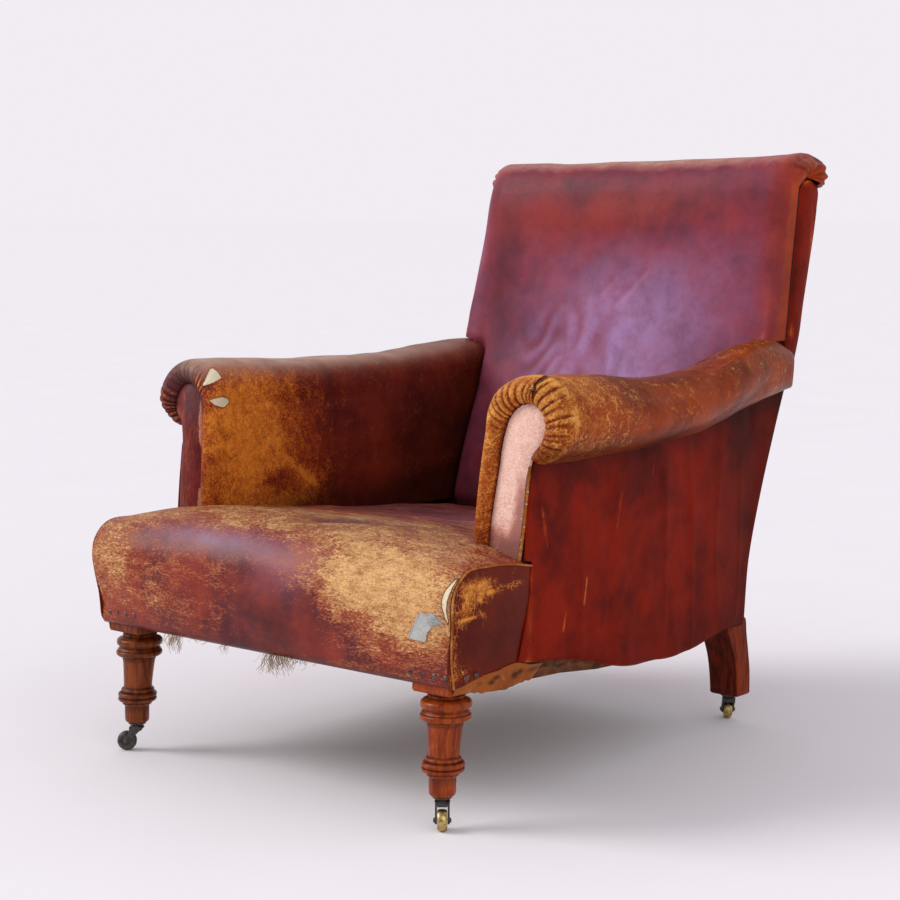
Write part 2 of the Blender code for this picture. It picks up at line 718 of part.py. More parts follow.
def core_profile(share, bottom, growth=0.0022):
    """Inside of the arm stuffing: the facing's outline, scaled with the roll along the arm."""
    x, z, half_x, half_z = arm_station(share)
    stem = smooth(FACING_STEM, STEM_POINTS)
    head = smooth(FACING_HEAD[:-1], HEAD_POINTS)[1:]
    lift = np.interp(stem[:, 1], (0.345, 0.495), (0.0, 1.0))[:, None]
    scale = np.array([half_x / ROLL_HALF[0], half_z / ROLL_HALF[1]])
    moved_head = (head - HEAD_MIDDLE) * scale + (x, z)
    top_of_stem = (stem[-1] - HEAD_MIDDLE) * scale + (x, z)
    foot = np.array([stem[0, 0], bottom])
    moved_stem = foot + lift * (top_of_stem - foot)
    path = np.concatenate([moved_stem, moved_head])
    along = np.gradient(path, axis=0)
    outward = np.stack([-along[:, 1], along[:, 0]], axis=1)
    outward /= np.linalg.norm(outward, axis=1, keepdims=True)
    return path + outward * growth


def arm_depth(share, z):
    """Depth of a point at this share of the arm's length: both ends lean, each its own way."""
    front = facing_y(z) + CURL_DEPTH
    rear = post_front_y(z) - STRAP_THICKNESS - 0.0020
    return front + share * (rear - front)


def arm(name, side, leather, stuffing, parent):
    """Stuffed arm with its cover. The cover turns in over the front and ends at the facing."""
    curl = [radians(turn) for turn in (-40, 10, 50)]
    shares = [0.0, 0.07, 0.22, 0.40, 0.60, 0.80, 0.90, 1.0]
    lowest = [0.353] * (len(curl) + 1)
    lowest += [0.300] + [rail_top(0.13 + 0.55 * share) + 0.003 for share in shares[2:]]
    outer, inner = [], []
    for turn, bottom in zip(curl, lowest):
        roll, core = roll_profile(0.0, bottom), core_profile(0.0, bottom)
        edge = core + (roll - core) * (0.5 + (0.50 if turn > 0 else 0.45) * sin(turn))
        front = CURL_DEPTH - CURL_BULGE * cos(turn)
        outer.append([(x, facing_y(z) + front, z) for x, z in edge])
        inset = CURL_DEPTH * (0.70 + 0.08 * len(inner))
        inner.append([(x, facing_y(z) + inset, z) for x, z in core])
    for share, bottom in zip(shares, lowest[len(curl) :]):
        roll, core = roll_profile(share, bottom), core_profile(share, bottom)
        outer.append([(x, arm_depth(share, z), z) for x, z in roll])
        inner.append([(x, arm_depth(share, z), z) for x, z in core])
    # Behind the last station only the roll goes on, along the outside of the back post.
    first = STEM_POINTS + 2
    for row in (outer, inner):
        last = np.array(row[-1])
        last[first:, 0] = np.maximum(last[first:, 0], POST_OUTER_X + 0.0030)
        row[-1] = last
        for share in (0.5, 1.0):
            row.append(last + (-0.008 * share**2, ROLL_END * share, -0.006 * share**2))
            row[-1][first:, 0] = np.maximum(row[-1][first:, 0], POST_OUTER_X + 0.0030)
    outer, inner = np.array(outer), np.array(inner)
    keep = np.ones((len(outer) - 1, outer.shape[1] - 1), bool)
    keep[-2:, :first] = False
    under, filling = sunk(outer, LEATHER), sunk(outer, LEATHER + PADDING_GAP)
    for grid in (under, filling):
        grid[-3:, first, 0] = outer[-3:, first, 0]
    slab("arm_cover_" + name, mirrored(outer, side), mirrored(under, side), leather, parent, keep)
    # The stuffing ends short of the neck, where the cover is drawn in and tacked.
    keep[:, -1] = False
    slab("arm_stuffing_" + name, mirrored(filling, side), mirrored(inner, side), stuffing, parent, keep)


def arm_facing(name, side, surface, parent):
    """Padded keyhole board nailed over the front end of the arm."""
    outer_edge = [(0.3262, 0.430), (0.3258, 0.336)]
    head = [tuple(point) for point in smooth(FACING_HEAD, 13)]
    outline = FACING_STEM[:-1] + head + outer_edge

    def place(x, z, layer):
        return Vector((side * x, facing_y(z) + layer * FACING_THICKNESS, z))

    plate("arm_facing_" + name, outline, place, surface, parent)


def outside_arm(name, side, leather, parent):
    """Leather panel outside the arm, from the facing back over the back leg, under the roll."""
    lower = smooth([(0.106, 0.199), (0.230, 0.184), (0.309, 0.168), (0.400, 0.152),
                    (0.480, 0.153), (0.580, 0.163), (0.6960, 0.163)], 10)  # fmt: skip
    upper = smooth([(0.1400, 0.4460), (0.240, 0.449), (0.330, 0.450), (0.420, 0.453),
                    (0.522, 0.461), (0.627, 0.472), (0.709, 0.488), (0.7940, 0.500)], 10)  # fmt: skip
    rows = 7
    grids = []
    for layer in (0, 1):
        grid = np.zeros((rows, len(lower), 3))
        for i in range(rows):
            rise = i / (rows - 1)
            for j in range(len(lower)):
                y, z = lower[j] + rise * (upper[j] - lower[j])
                if j == 0:
                    behind_facing = facing_y(z) + FACING_THICKNESS + GAP
                    behind_gusset = np.interp(z, (0.200, 0.277, 0.325), (0.1075, 0.1310, 0.1320))
                    y = behind_facing if z > 0.334 else behind_gusset
                if j == len(lower) - 1:
                    y = rear_y(z) - 0.0035
                x = side_x(y) - layer * PANEL_THICKNESS
                grid[i, j] = (side * x, y, z)
        grids.append(grid)
    slab("outside_arm_" + name, grids[0], grids[1], leather, parent)


# ---------------------------------------------------------------- back
# Heights at which the back's layers are all measured, and where a cross strap starts.
BACK_LEVELS = (0.270, 0.300, 0.360, 0.410, 0.460, 0.505, 0.550, 0.587, 0.640, 0.680, 0.730, 0.780, 0.830)
BACK_STRAPS = (0.360, 0.460, 0.550, 0.640, 0.730)


def back_front_y(x, z):
    """Front face of the inside back: crowned in the middle, curved from seat to crest."""
    heights = (0.296, 0.38, 0.445, 0.502, 0.560, 0.620, 0.700, 0.760, 0.820)
    middle = (0.628, 0.655, 0.680, 0.700, 0.717, 0.730, 0.745, 0.756, 0.774)
    edge_low = (0.648, 0.676, 0.702, 0.723, 0.735, 0.762, 0.770, 0.776, 0.788)
    half = BACK_HALF_LOW if z < BACK_SHOULDER_Z else BACK_HALF_HIGH
    crown = 1 - min(1.0, abs(x) / half) ** 2.4
    edge = np.interp(z, heights, edge_low)
    return edge + crown * (np.interp(z, heights, middle) - edge)


def back(leather, stuffing, webbing, parent):
    """Back stuffing and cover, T-shaped: narrow between the arms and wide above them."""
    heights = [z for z in BACK_LEVELS if 0.29 < z < 0.80]
    scroll = smooth([(0.789, 0.825), (0.799, 0.850), (0.824, 0.8615), (0.866, 0.8610),
                     (0.893, 0.8480), (0.9030, 0.830), (0.8960, 0.813)], 7)  # fmt: skip
    narrow = np.linspace(-BACK_HALF_LOW, BACK_HALF_LOW, 9)
    xs = [-BACK_HALF_HIGH, *narrow, BACK_HALF_HIGH]
    rows = len(heights) + len(scroll)
    outer = np.zeros((rows, len(xs), 3))
    inner = np.zeros((rows, len(xs), 3))
    top = 0.842 + 0.0015
    core = [(post_front_y(z) - STRAP_THICKNESS - 3 * GAP, z) for z in heights]
    core += [(0.8230, 0.820), (0.8260, top), (0.8420, top), (0.8620, top), (0.8790, top)]
    core += [(0.8815, 0.825), (0.8815, 0.8125)]
    for j, x in enumerate(xs):
        for i, z in enumerate(heights):
            outer[i, j] = (x, back_front_y(x, z), z)
        for i, (y, z) in enumerate(scroll):
            outer[len(heights) + i, j] = (x, y, z)
        for i, (y, z) in enumerate(core):
            inner[i, j] = (x, y, z)
    keep = np.ones((rows - 1, len(xs) - 1), bool)
    shoulder = heights.index(0.587)
    keep[:shoulder, 0] = False
    keep[:shoulder, -1] = False
    slab("back_cover", outer, sunk(outer, LEATHER), leather, parent, keep)
    slab("back_stuffing", sunk(outer, LEATHER + PADDING_GAP), inner, stuffing, parent, keep)

    columns = [-0.275, -0.175, -0.125, -0.025, 0.025, 0.125, 0.175, 0.275]

    def point(x, z, side):
        return (x, post_front_y(z) - GAP - side * STRAP_THICKNESS, z)

    keep_column = [k % 2 for k in range(len(columns) - 1)]
    keep_row = [low in BACK_STRAPS for low in BACK_LEVELS[:-1]]
    lattice("back_webbing", columns, BACK_LEVELS, keep_column, keep_row, point, webbing, parent)


def back_sides(leather, parent):
    """Leather strips that close the sides of the back above the arms."""
    front = [(0.7650, 0.592), (0.7650, 0.641), (0.7720, 0.716), (0.7830, 0.800)]
    scroll = smooth([(0.7890, 0.825), (0.799, 0.850), (0.824, 0.8610), (0.866, 0.8605),
                     (0.893, 0.8475), (0.9020, 0.830), (0.8950, 0.813)], 8)  # fmt: skip
    rear = [(float(rear_y(z)), z) for z in (0.800, 0.745, 0.680, 0.620, 0.592)]
    outline = front + [tuple(point) for point in scroll] + rear
    for name, side in (("back_side_left", -1), ("back_side_right", 1)):

        def place(y, z, outer):
            x = BACK_HALF_HIGH + GAP + outer * SIDE_STRIP_THICKNESS
            return Vector((side * x, y, z))

        plate(name, outline, place, leather, parent)


def outside_back(leather, parent):
    """Leather panel down the chair's back, from under the scroll to the bottom of the back rail."""
    levels = (0.160, 0.205, 0.25, 0.305, 0.36, 0.46, 0.55, 0.615, 0.68, 0.745, 0.806)
    grids = []
    for layer in (0, 1):
        grid = []
        for z in levels:
            half = side_x(0.70) - PANEL_THICKNESS - GAP if z < 0.59 else BACK_HALF_HIGH
            y = rear_y(z) - layer * OUTSIDE_BACK_THICKNESS
            grid.append([(x, y, z) for x in np.linspace(-half, half, 7)])
        grids.append(np.array(grid))
    slab("outside_back", grids[0], grids[1], leather, parent)


# ---------------------------------------------------------------- assembly
def build():
    for old in list(bpy.data.objects):
        bpy.data.objects.remove(old, do_unlink=True)

    leg_wood = material("polished_wood", (0.26, 0.075, 0.022), 0.35)
    frame_wood = material("frame_wood", (0.42, 0.22, 0.10), 0.65)
    brass = material("brass", (0.60, 0.42, 0.18), 0.35, 1.0)
    iron = material("dark_iron", (0.06, 0.055, 0.05), 0.50, 1.0)
    steel = material("spring_steel", (0.22, 0.20, 0.18), 0.45, 1.0)
    jute = material("jute_webbing", (0.38, 0.27, 0.15), 0.90)
    canvas = material("spring_canvas", (0.45, 0.35, 0.22), 0.90)
    horsehair = material("horsehair_stuffing", (0.20, 0.14, 0.09), 0.95)
    seat_leather = material("seat_leather", (0.30, 0.12, 0.05), 0.45)
    arm_leather = material("arm_leather", (0.28, 0.08, 0.03), 0.45)
    side_leather = material("side_leather", (0.22, 0.035, 0.015), 0.45)
    back_leather = material("back_leather", (0.17, 0.03, 0.03), 0.40)

    chair = new_empty("chair", location=(0, -MID_DEPTH, 0))
    for name, side in (("left", -1), ("right", 1)):
        front_leg("front_leg_" + name, side, leg_wood, chair)
        back_leg("back_leg_" + name, side, leg_wood, chair)
        arm(name, side, arm_leather, horsehair, chair)
        arm_facing(name, side, arm_leather, chair)
        outside_arm(name, side, side_leather, chair)
    seat_rails(frame_wood, chair)
    upper_frame(frame_wood, chair)
    for name, (x, y, heading) in CASTORS.items():
        castor(name, x, y, heading, brass, iron, chair)

    seat_webbing(jute, chair)
    number = 1
    for y in SPRING_PLACES_Y:
        for x in SPRING_PLACES_X:
            seat_spring(f"seat_spring_{number}", x, y, steel, chair)
            number += 1
    spring_canvas(canvas, chair)
    seat(seat_leather, horsehair, chair)
    gussets(seat_leather, chair)
    back(back_leather, horsehair, jute, chair)
    back_sides(side_leather, chair)
    outside_back(side_leather, chair)


build()
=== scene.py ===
"""Looks of the worn club chair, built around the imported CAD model.

Depths below are measured from the line through the front feet, as in the CAD source; new_piece()
moves every point into the frame. Left and right are the viewer's, in front of the chair.
"""

import random
from itertools import product
from math import cos, pi, radians, sin

import bmesh
import bpy
import numpy as np
from mathutils import Matrix, Vector
from mathutils.bvhtree import BVHTree


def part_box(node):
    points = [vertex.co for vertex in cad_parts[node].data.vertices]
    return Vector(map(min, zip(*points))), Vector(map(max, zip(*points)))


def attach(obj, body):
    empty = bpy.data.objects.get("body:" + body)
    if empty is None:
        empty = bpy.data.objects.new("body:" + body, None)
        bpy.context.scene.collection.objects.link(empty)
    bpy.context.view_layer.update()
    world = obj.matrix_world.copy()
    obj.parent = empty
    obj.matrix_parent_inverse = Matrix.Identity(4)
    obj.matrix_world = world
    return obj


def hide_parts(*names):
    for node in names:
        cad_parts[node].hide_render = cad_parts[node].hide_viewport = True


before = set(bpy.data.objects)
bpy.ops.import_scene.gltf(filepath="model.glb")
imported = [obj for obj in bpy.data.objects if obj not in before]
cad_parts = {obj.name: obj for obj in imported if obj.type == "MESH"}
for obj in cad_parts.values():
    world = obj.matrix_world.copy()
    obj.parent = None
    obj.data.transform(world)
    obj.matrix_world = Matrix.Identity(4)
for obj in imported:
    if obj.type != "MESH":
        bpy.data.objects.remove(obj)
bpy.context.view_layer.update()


def middle_of(node):
    low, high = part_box(node)
    return (low + high) / 2


FEET_Y = middle_of("castor_plate_front_left").y
CHAIR = "chair"
SIDES = (("left", -1), ("right", 1))
LEAN_START = 0.062  # height above which a front leg leans back
rng = random.Random(7)


# ---------------------------------------------------------------- numbers and curves
def step(value, low, high):
    """0 below low, 1 above high and a smooth rise between them."""
    share = np.clip((np.asarray(value, float) - low) / (high - low), 0.0, 1.0)
    return share * share * (3 - 2 * share)


def table(value, places, heights):
    """Smooth curve through a short table of heights."""
    places, heights = np.array(places, float), np.array(heights, float)
    slopes = np.gradient(heights, places)
    value = np.clip(np.asarray(value, float), places[0], places[-1])
    left = np.clip(np.searchsorted(places, value, side="right") - 1, 0, len(places) - 2)
    width = places[left + 1] - places[left]
    u = (value - places[left]) / width
    return (
        (2 * u**3 - 3 * u**2 + 1) * heights[left]
        + (u**3 - 2 * u**2 + u) * width * slopes[left]
        + (3 * u**2 - 2 * u**3) * heights[left + 1]
        + (u**3 - u**2) * width * slopes[left + 1]
    )


def lengths_along(points):
    """How far along the line through these points each of them lies."""
    return np.concatenate([[0.0], np.cumsum(np.linalg.norm(np.diff(points, axis=0), axis=1))])


def read_off(places, run, points):
    """The line's points at these places of its run."""
    return np.stack([np.interp(places, run, points[:, k]) for k in range(points.shape[1])], axis=1)


def path_through(points, count):
    """count points at even spacing along a smooth curve through these."""
    points = np.array(points, float)
    knots = lengths_along(points)
    fine = np.linspace(0.0, knots[-1], 30 * len(points))
    curve = np.stack([table(fine, knots, points[:, k]) for k in range(points.shape[1])], axis=1)
    run = lengths_along(curve)
    return read_off(np.linspace(0.0, run[-1], count), run, curve)


def ring_through(points, count):
    """count points on a smooth closed curve through these."""
    return path_through([*points, points[0]], count + 1)[:-1]


def bell(value, middle, width):
    return np.exp(-(((value - middle) / width) ** 2))


def lumps(points, scale, seed):
    """Smooth noise from -1 to 1; one lump is about 1 / scale metres across."""
    p = np.asarray(points, float) * scale + seed * 17.13
    cell = np.floor(p).astype(np.int64)
    part = p - cell
    part = part * part * (3 - 2 * part)
    total = np.zeros(p.shape[:-1])
    for corner in product((0, 1), repeat=3):
        c = cell + np.array(corner)
        mixed = (c[..., 0] * 73856093) ^ (c[..., 1] * 19349663) ^ (c[..., 2] * 83492791)
        mixed = (mixed ^ (mixed >> 13)) * 1274126177
        value = ((mixed >> 7) & 0xFFFF) / 32767.5 - 1
        weight = np.prod(np.where(corner, part, 1 - part), axis=-1)
        total += value * weight
    return total


def creases(points, scale, seed):
    """Noise from 0 to 1 with narrow ridges, as pinched leather has."""
    return (1 - np.abs(lumps(points, scale, seed))) ** 6


def outward(grid):
    """Unit normals of a grid whose rows run up or back and whose columns run to the right."""
    normal = np.cross(np.gradient(grid, axis=1), np.gradient(grid, axis=0))
    return normal / np.maximum(np.linalg.norm(normal, axis=2, keepdims=True), 1e-12)


def raised(grid, height):
    return grid + outward(grid) * np.asarray(height)[..., None]


def spots(points, base, *places):
    """Mask made of soft spots: each is (centre, radii, amount)."""
    total = np.full(points.shape[:-1], float(base))
    for centre, radii, amount in places:
        away = (points - np.array(centre)) / np.array(radii)
        total += amount * np.exp(-np.sum(away**2, axis=-1))
    return total


def scratch(points, start, end, width, axes=(1, 2)):
    """Mask of one straight scratch in the plane of these axes, thinning to its ends."""
    place = points[..., list(axes)]
    start, end = np.array(start), np.array(end)
    along = (end - start) / np.linalg.norm(end - start)
    run = ((place - start) @ along) / np.linalg.norm(end - start)
    away = np.abs((place - start) @ np.array([-along[1], along[0]]))
    return bell(away, 0, width) * step(run, -0.15, 0.15) * (1 - step(run, 0.85, 1.15))


def scratches(points, *lines, axes=(1, 2)):
    """Several scratches at once: each is (amount, start, end, width)."""
    return sum(amount * scratch(points, start, end, width, axes) for amount, start, end, width in lines)


# ---------------------------------------------------------------- mesh tools
class Shape:
    """Points and faces of one piece, gathered before it becomes an object."""

    def __init__(self):
        self.points, self.faces, self.masks = [], [], {}

    def add(self, points, faces):
        start = len(self.points)
        self.points.extend(Vector(p) for p in points)
        self.faces.extend([start + k for k in face] for face in faces)

    def grid(self, grid, keep=None, closed=False, flip=False):
        rows, columns = grid.shape[:2]
        faces = []
        for i in range(rows - 1):
            for j in range(columns if closed else columns - 1):
                if keep is not None and not keep[i][j]:
                    continue
                k = (j + 1) % columns
                face = [i * columns + j, i * columns + k, (i + 1) * columns + k, (i + 1) * columns + j]
                faces.append(face[::-1] if flip else face)
        self.add(grid.reshape(-1, 3), faces)

    def tube(self, path, radius, sides=6, ends=True):
        """Round tube along a path; radius is one number or one for each point."""
        path = np.array(path, float)
        radii = np.broadcast_to(radius, len(path))
        along = np.gradient(path, axis=0)
        along /= np.maximum(np.linalg.norm(along, axis=1, keepdims=True), 1e-12)
        side = np.cross(along[0], (0.3, 0.5, 0.81))
        rings = []
        for k in range(len(path)):
            side = side - along[k] * (side @ along[k])
            side /= max(np.linalg.norm(side), 1e-12)
            other = np.cross(along[k], side)
            turns = np.arange(sides) * 2 * pi / sides
            ring = np.cos(turns)[:, None] * side + np.sin(turns)[:, None] * other
            rings.append(path[k] + ring * radii[k])
        start = len(self.points)
        self.grid(np.array(rings), closed=True)
        if ends:
            last = start + (len(path) - 1) * sides
            self.faces.append([start + k for k in reversed(range(sides))])
            self.faces.append([last + k for k in range(sides)])

    def lathe(self, profile, sides, middle=(0, 0, 0), turn=None, lean=0.0):
        """Revolves (radius, height) points; the first and last close onto the axis."""
        turns = np.arange(sides) * 2 * pi / sides
        rings = []
        for radius, height in profile:
            back = lean * max(0.0, height - LEAN_START)
            rings.append([(radius * cos(t), radius * sin(t) + back, height) for t in turns])
        grid = np.array(rings)
        if turn is not None:
            grid = grid @ np.array(turn.to_3x3()).T
        self.grid(grid + np.array(middle), closed=True)

    def block(self, low, high, bevel=0.002, segments=2, turn=None, middle=(0, 0, 0)):
        """Box with rounded edges."""
        bm = bmesh.new()
        bmesh.ops.create_cube(bm, size=1.0)
        size = Vector(high) - Vector(low)
        centre = (Vector(high) + Vector(low)) / 2
        for vert in bm.verts:
            vert.co = Vector(a * b for a, b in zip(vert.co, size)) + centre
        bmesh.ops.bevel(bm, geom=bm.edges[:], offset=bevel, segments=segments, affect="EDGES")
        if turn is not None:
            bmesh.ops.transform(bm, matrix=turn, verts=bm.verts)
        bmesh.ops.translate(bm, vec=middle, verts=bm.verts)
        bm.verts.index_update()
        self.add([v.co.copy() for v in bm.verts], [[v.index for v in f.verts] for f in bm.faces])
        bm.free()


def facing_along(direction):
    """Turn that points a lathed profile's axis in this direction."""
    return Vector(direction).to_track_quat("Z", "Y").to_matrix()


def in_scene(name, data):
    """A new object in the scene."""
    made = bpy.data.objects.new(name, data)
    bpy.context.scene.collection.objects.link(made)
    return made


def new_piece(name, shape, surface, body=CHAIR, shift=True, weld=1e-6, outwards=True, sharp=40):
    """Makes the object, in the frame, riding on its body."""
    mesh = bpy.data.meshes.new(name)
    offset = Vector((0, FEET_Y if shift else 0, 0))
    mesh.from_pydata([p + offset for p in shape.points], [], shape.faces)
    for mask, values in shape.masks.items():
        made = mesh.attributes.new(mask, "FLOAT", "POINT")
        made.data.foreach_set("value", np.asarray(values, np.float32).ravel())
    bm = bmesh.new()
    bm.from_mesh(mesh)
    loose = [v for v in bm.verts if not v.link_faces]
    bmesh.ops.delete(bm, geom=loose, context="VERTS")
    if weld:
        bmesh.ops.remove_doubles(bm, verts=bm.verts, dist=weld)
    if outwards:
        bmesh.ops.recalc_face_normals(bm, faces=bm.faces)
    bm.to_mesh(mesh)
    bm.free()
    mesh.shade_smooth()
    if sharp:
        mesh.set_sharp_from_angle(angle=radians(sharp))
    mesh.materials.append(surface)
    made = in_scene(name, mesh)
    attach(made, body)
    return made


def skin(name, grid, surface, masks, thickness=0.0025, keep=None, flip=False, stands_for=()):
    """Leather cover: a dense grid with an outer face, given its thickness inwards."""
    shape = Shape()
    shape.grid(grid, keep, flip=flip)
    shape.masks = masks
    made = new_piece(name, shape, surface, weld=0, outwards=False, sharp=0)
    shell = made.modifiers.new("thickness", "SOLIDIFY")
    shell.thickness = thickness
    shell.offset = -1
    if stands_for:
        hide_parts(*stands_for)
    return made


def pillow(name, outline, spine, place, crown, surface, masks, rings=9, depth=0.006):
    """Padded panel: an outline that rises in rings to a spine. place(a, b, height) gives the point."""
    outline, spine = np.array(outline, float), np.array(spine, float).reshape(-1, 2)
    nearest = spine[np.argmin(np.linalg.norm(outline[:, None] - spine[None], axis=2), axis=1)]
    rows = [[place(a, b, -depth) for a, b in outline]]
    for share in np.linspace(0.0, 1.0, rings) ** 1.6:
        ring = outline + (nearest - outline) * share
        height = crown * (1 - (1 - share) ** 2.6)
        rows.append([place(a, b, height) for a, b in ring])
    flat = [[place(a, b, -depth) for a, b in outline + (nearest - outline) * share] for share in (1.0, 0.5)]
    grid = np.array(flat + rows)
    shape = Shape()
    shape.grid(grid, closed=True)
    points = grid.reshape(-1, 3)
    shape.masks = {key: make(points) for key, make in masks.items()}
    return new_piece(name, shape, surface, weld=2e-5, sharp=50)


# ---------------------------------------------------------------- material tools
def set_inputs(node, **values):
    """Sets constant inputs of a node by name, with _ for a space."""
    for key, value in values.items():
        node.inputs[key.replace("_", " ")].default_value = value


class Paint:
    """Builds one procedural material, node by node, in the frame's own coordinates."""

    def __init__(self, name, roughness=0.5, metallic=0.0):
        self.material = bpy.data.materials.new(name)
        self.material.use_nodes = True
        self.tree = self.material.node_tree
        self.shader = self.tree.nodes["Principled BSDF"]
        set_inputs(self.shader, Roughness=roughness, Metallic=metallic)
        self.where = self.tree.nodes.new("ShaderNodeTexCoord").outputs["Object"]
        self.normal = None

    def node(self, kind, **settings):
        made = self.tree.nodes.new("ShaderNode" + kind)
        for key, value in settings.items():
            setattr(made, key, value)
        return made

    def put(self, socket, value):
        if isinstance(value, bpy.types.NodeSocket):
            self.tree.links.new(value, socket)
        elif isinstance(value, (tuple, list)) and len(value) == 3 and socket.type == "RGBA":
            socket.default_value = (*value, 1.0)
        else:
            socket.default_value = value

    def stretched(self, stretch, where=None):
        made = self.node("Mapping")
        self.put(made.inputs["Vector"], where or self.where)
        set_inputs(made, Scale=stretch)
        return made.outputs["Vector"]

    def shaken(self, scale, amount):
        """Coordinates pushed about by noise, so that lines in a pattern wander."""
        made = self.node("TexNoise")
        self.put(made.inputs["Vector"], self.where)
        set_inputs(made, Scale=scale, Detail=3)
        push = self.node("VectorMath", operation="MULTIPLY_ADD")
        self.put(push.inputs[0], made.outputs["Color"])
        push.inputs[1].default_value = (amount, amount, amount)
        self.put(push.inputs[2], self.where)
        return push.outputs[0]

    def noise(self, scale, detail=4.0, roughness=0.55, where=None, distortion=0.0):
        made = self.node("TexNoise")
        self.put(made.inputs["Vector"], where or self.where)
        set_inputs(made, Scale=scale, Detail=detail, Roughness=roughness, Distortion=distortion)
        return made.outputs["Fac"]

    def cells(self, scale, feature="DISTANCE_TO_EDGE", where=None):
        made = self.node("TexVoronoi", feature=feature)
        self.put(made.inputs["Vector"], where or self.where)
        set_inputs(made, Scale=scale)
        return made.outputs["Distance"]

    def mask(self, name):
        return self.node("Attribute", attribute_name=name).outputs["Fac"]

    def sum(self, a, b, operation="ADD", clamp=False):
        made = self.node("Math", operation=operation, use_clamp=clamp)
        self.put(made.inputs[0], a)
        self.put(made.inputs[1], b)
        return made.outputs[0]

    def times(self, a, b):
        return self.sum(a, b, "MULTIPLY")

    def scaled(self, value, gain, lift=0.0):
        made = self.node("Math", operation="MULTIPLY_ADD")
        self.put(made.inputs[0], value)
        made.inputs[1].default_value = gain
        made.inputs[2].default_value = lift
        return made.outputs[0]

    def ramp(self, value, low, high, start=0.0, end=1.0):
        made = self.node("MapRange", interpolation_type="SMOOTHSTEP")
        for key, number in (("Value", value), ("From Min", low), ("From Max", high)):
            self.put(made.inputs[key], number)
        set_inputs(made, To_Min=start, To_Max=end)
        return made.outputs["Result"]

    def mix(self, share, a, b):
        made = self.node("Mix", data_type="RGBA")
        self.put(made.inputs[0], share)
        self.put(made.inputs[6], a)
        self.put(made.inputs[7], b)
        return made.outputs[2]

    def bump(self, height, distance, strength=1.0):
        made = self.node("Bump")
        self.put(made.inputs["Height"], height)
        set_inputs(made, Distance=distance, Strength=strength)
        if self.normal is not None:
            self.put(made.inputs["Normal"], self.normal)
        self.normal = made.outputs["Normal"]

    def done(self, colour, roughness=None, **inputs):
        self.put(self.shader.inputs["Base Color"], colour)
        if roughness is not None:
            self.put(self.shader.inputs["Roughness"], roughness)
        if self.normal is not None:
            self.put(self.shader.inputs["Normal"], self.normal)
        for key, value in inputs.items():
            self.put(self.shader.inputs[key.replace("_", " ")], value)
        return self.material


# Amounts of wear over which the finish thins, and over which it has gone.
THINNING, BARING = (0.34, 0.52), (0.47, 0.67)
# Dark colour mixed in by the mask of dirt: real dirt in places, painted shade in creases, gaps and recesses
# in others.
DIRT_AND_SHADE_COLOUR = (0.01, 0.004, 0.003)


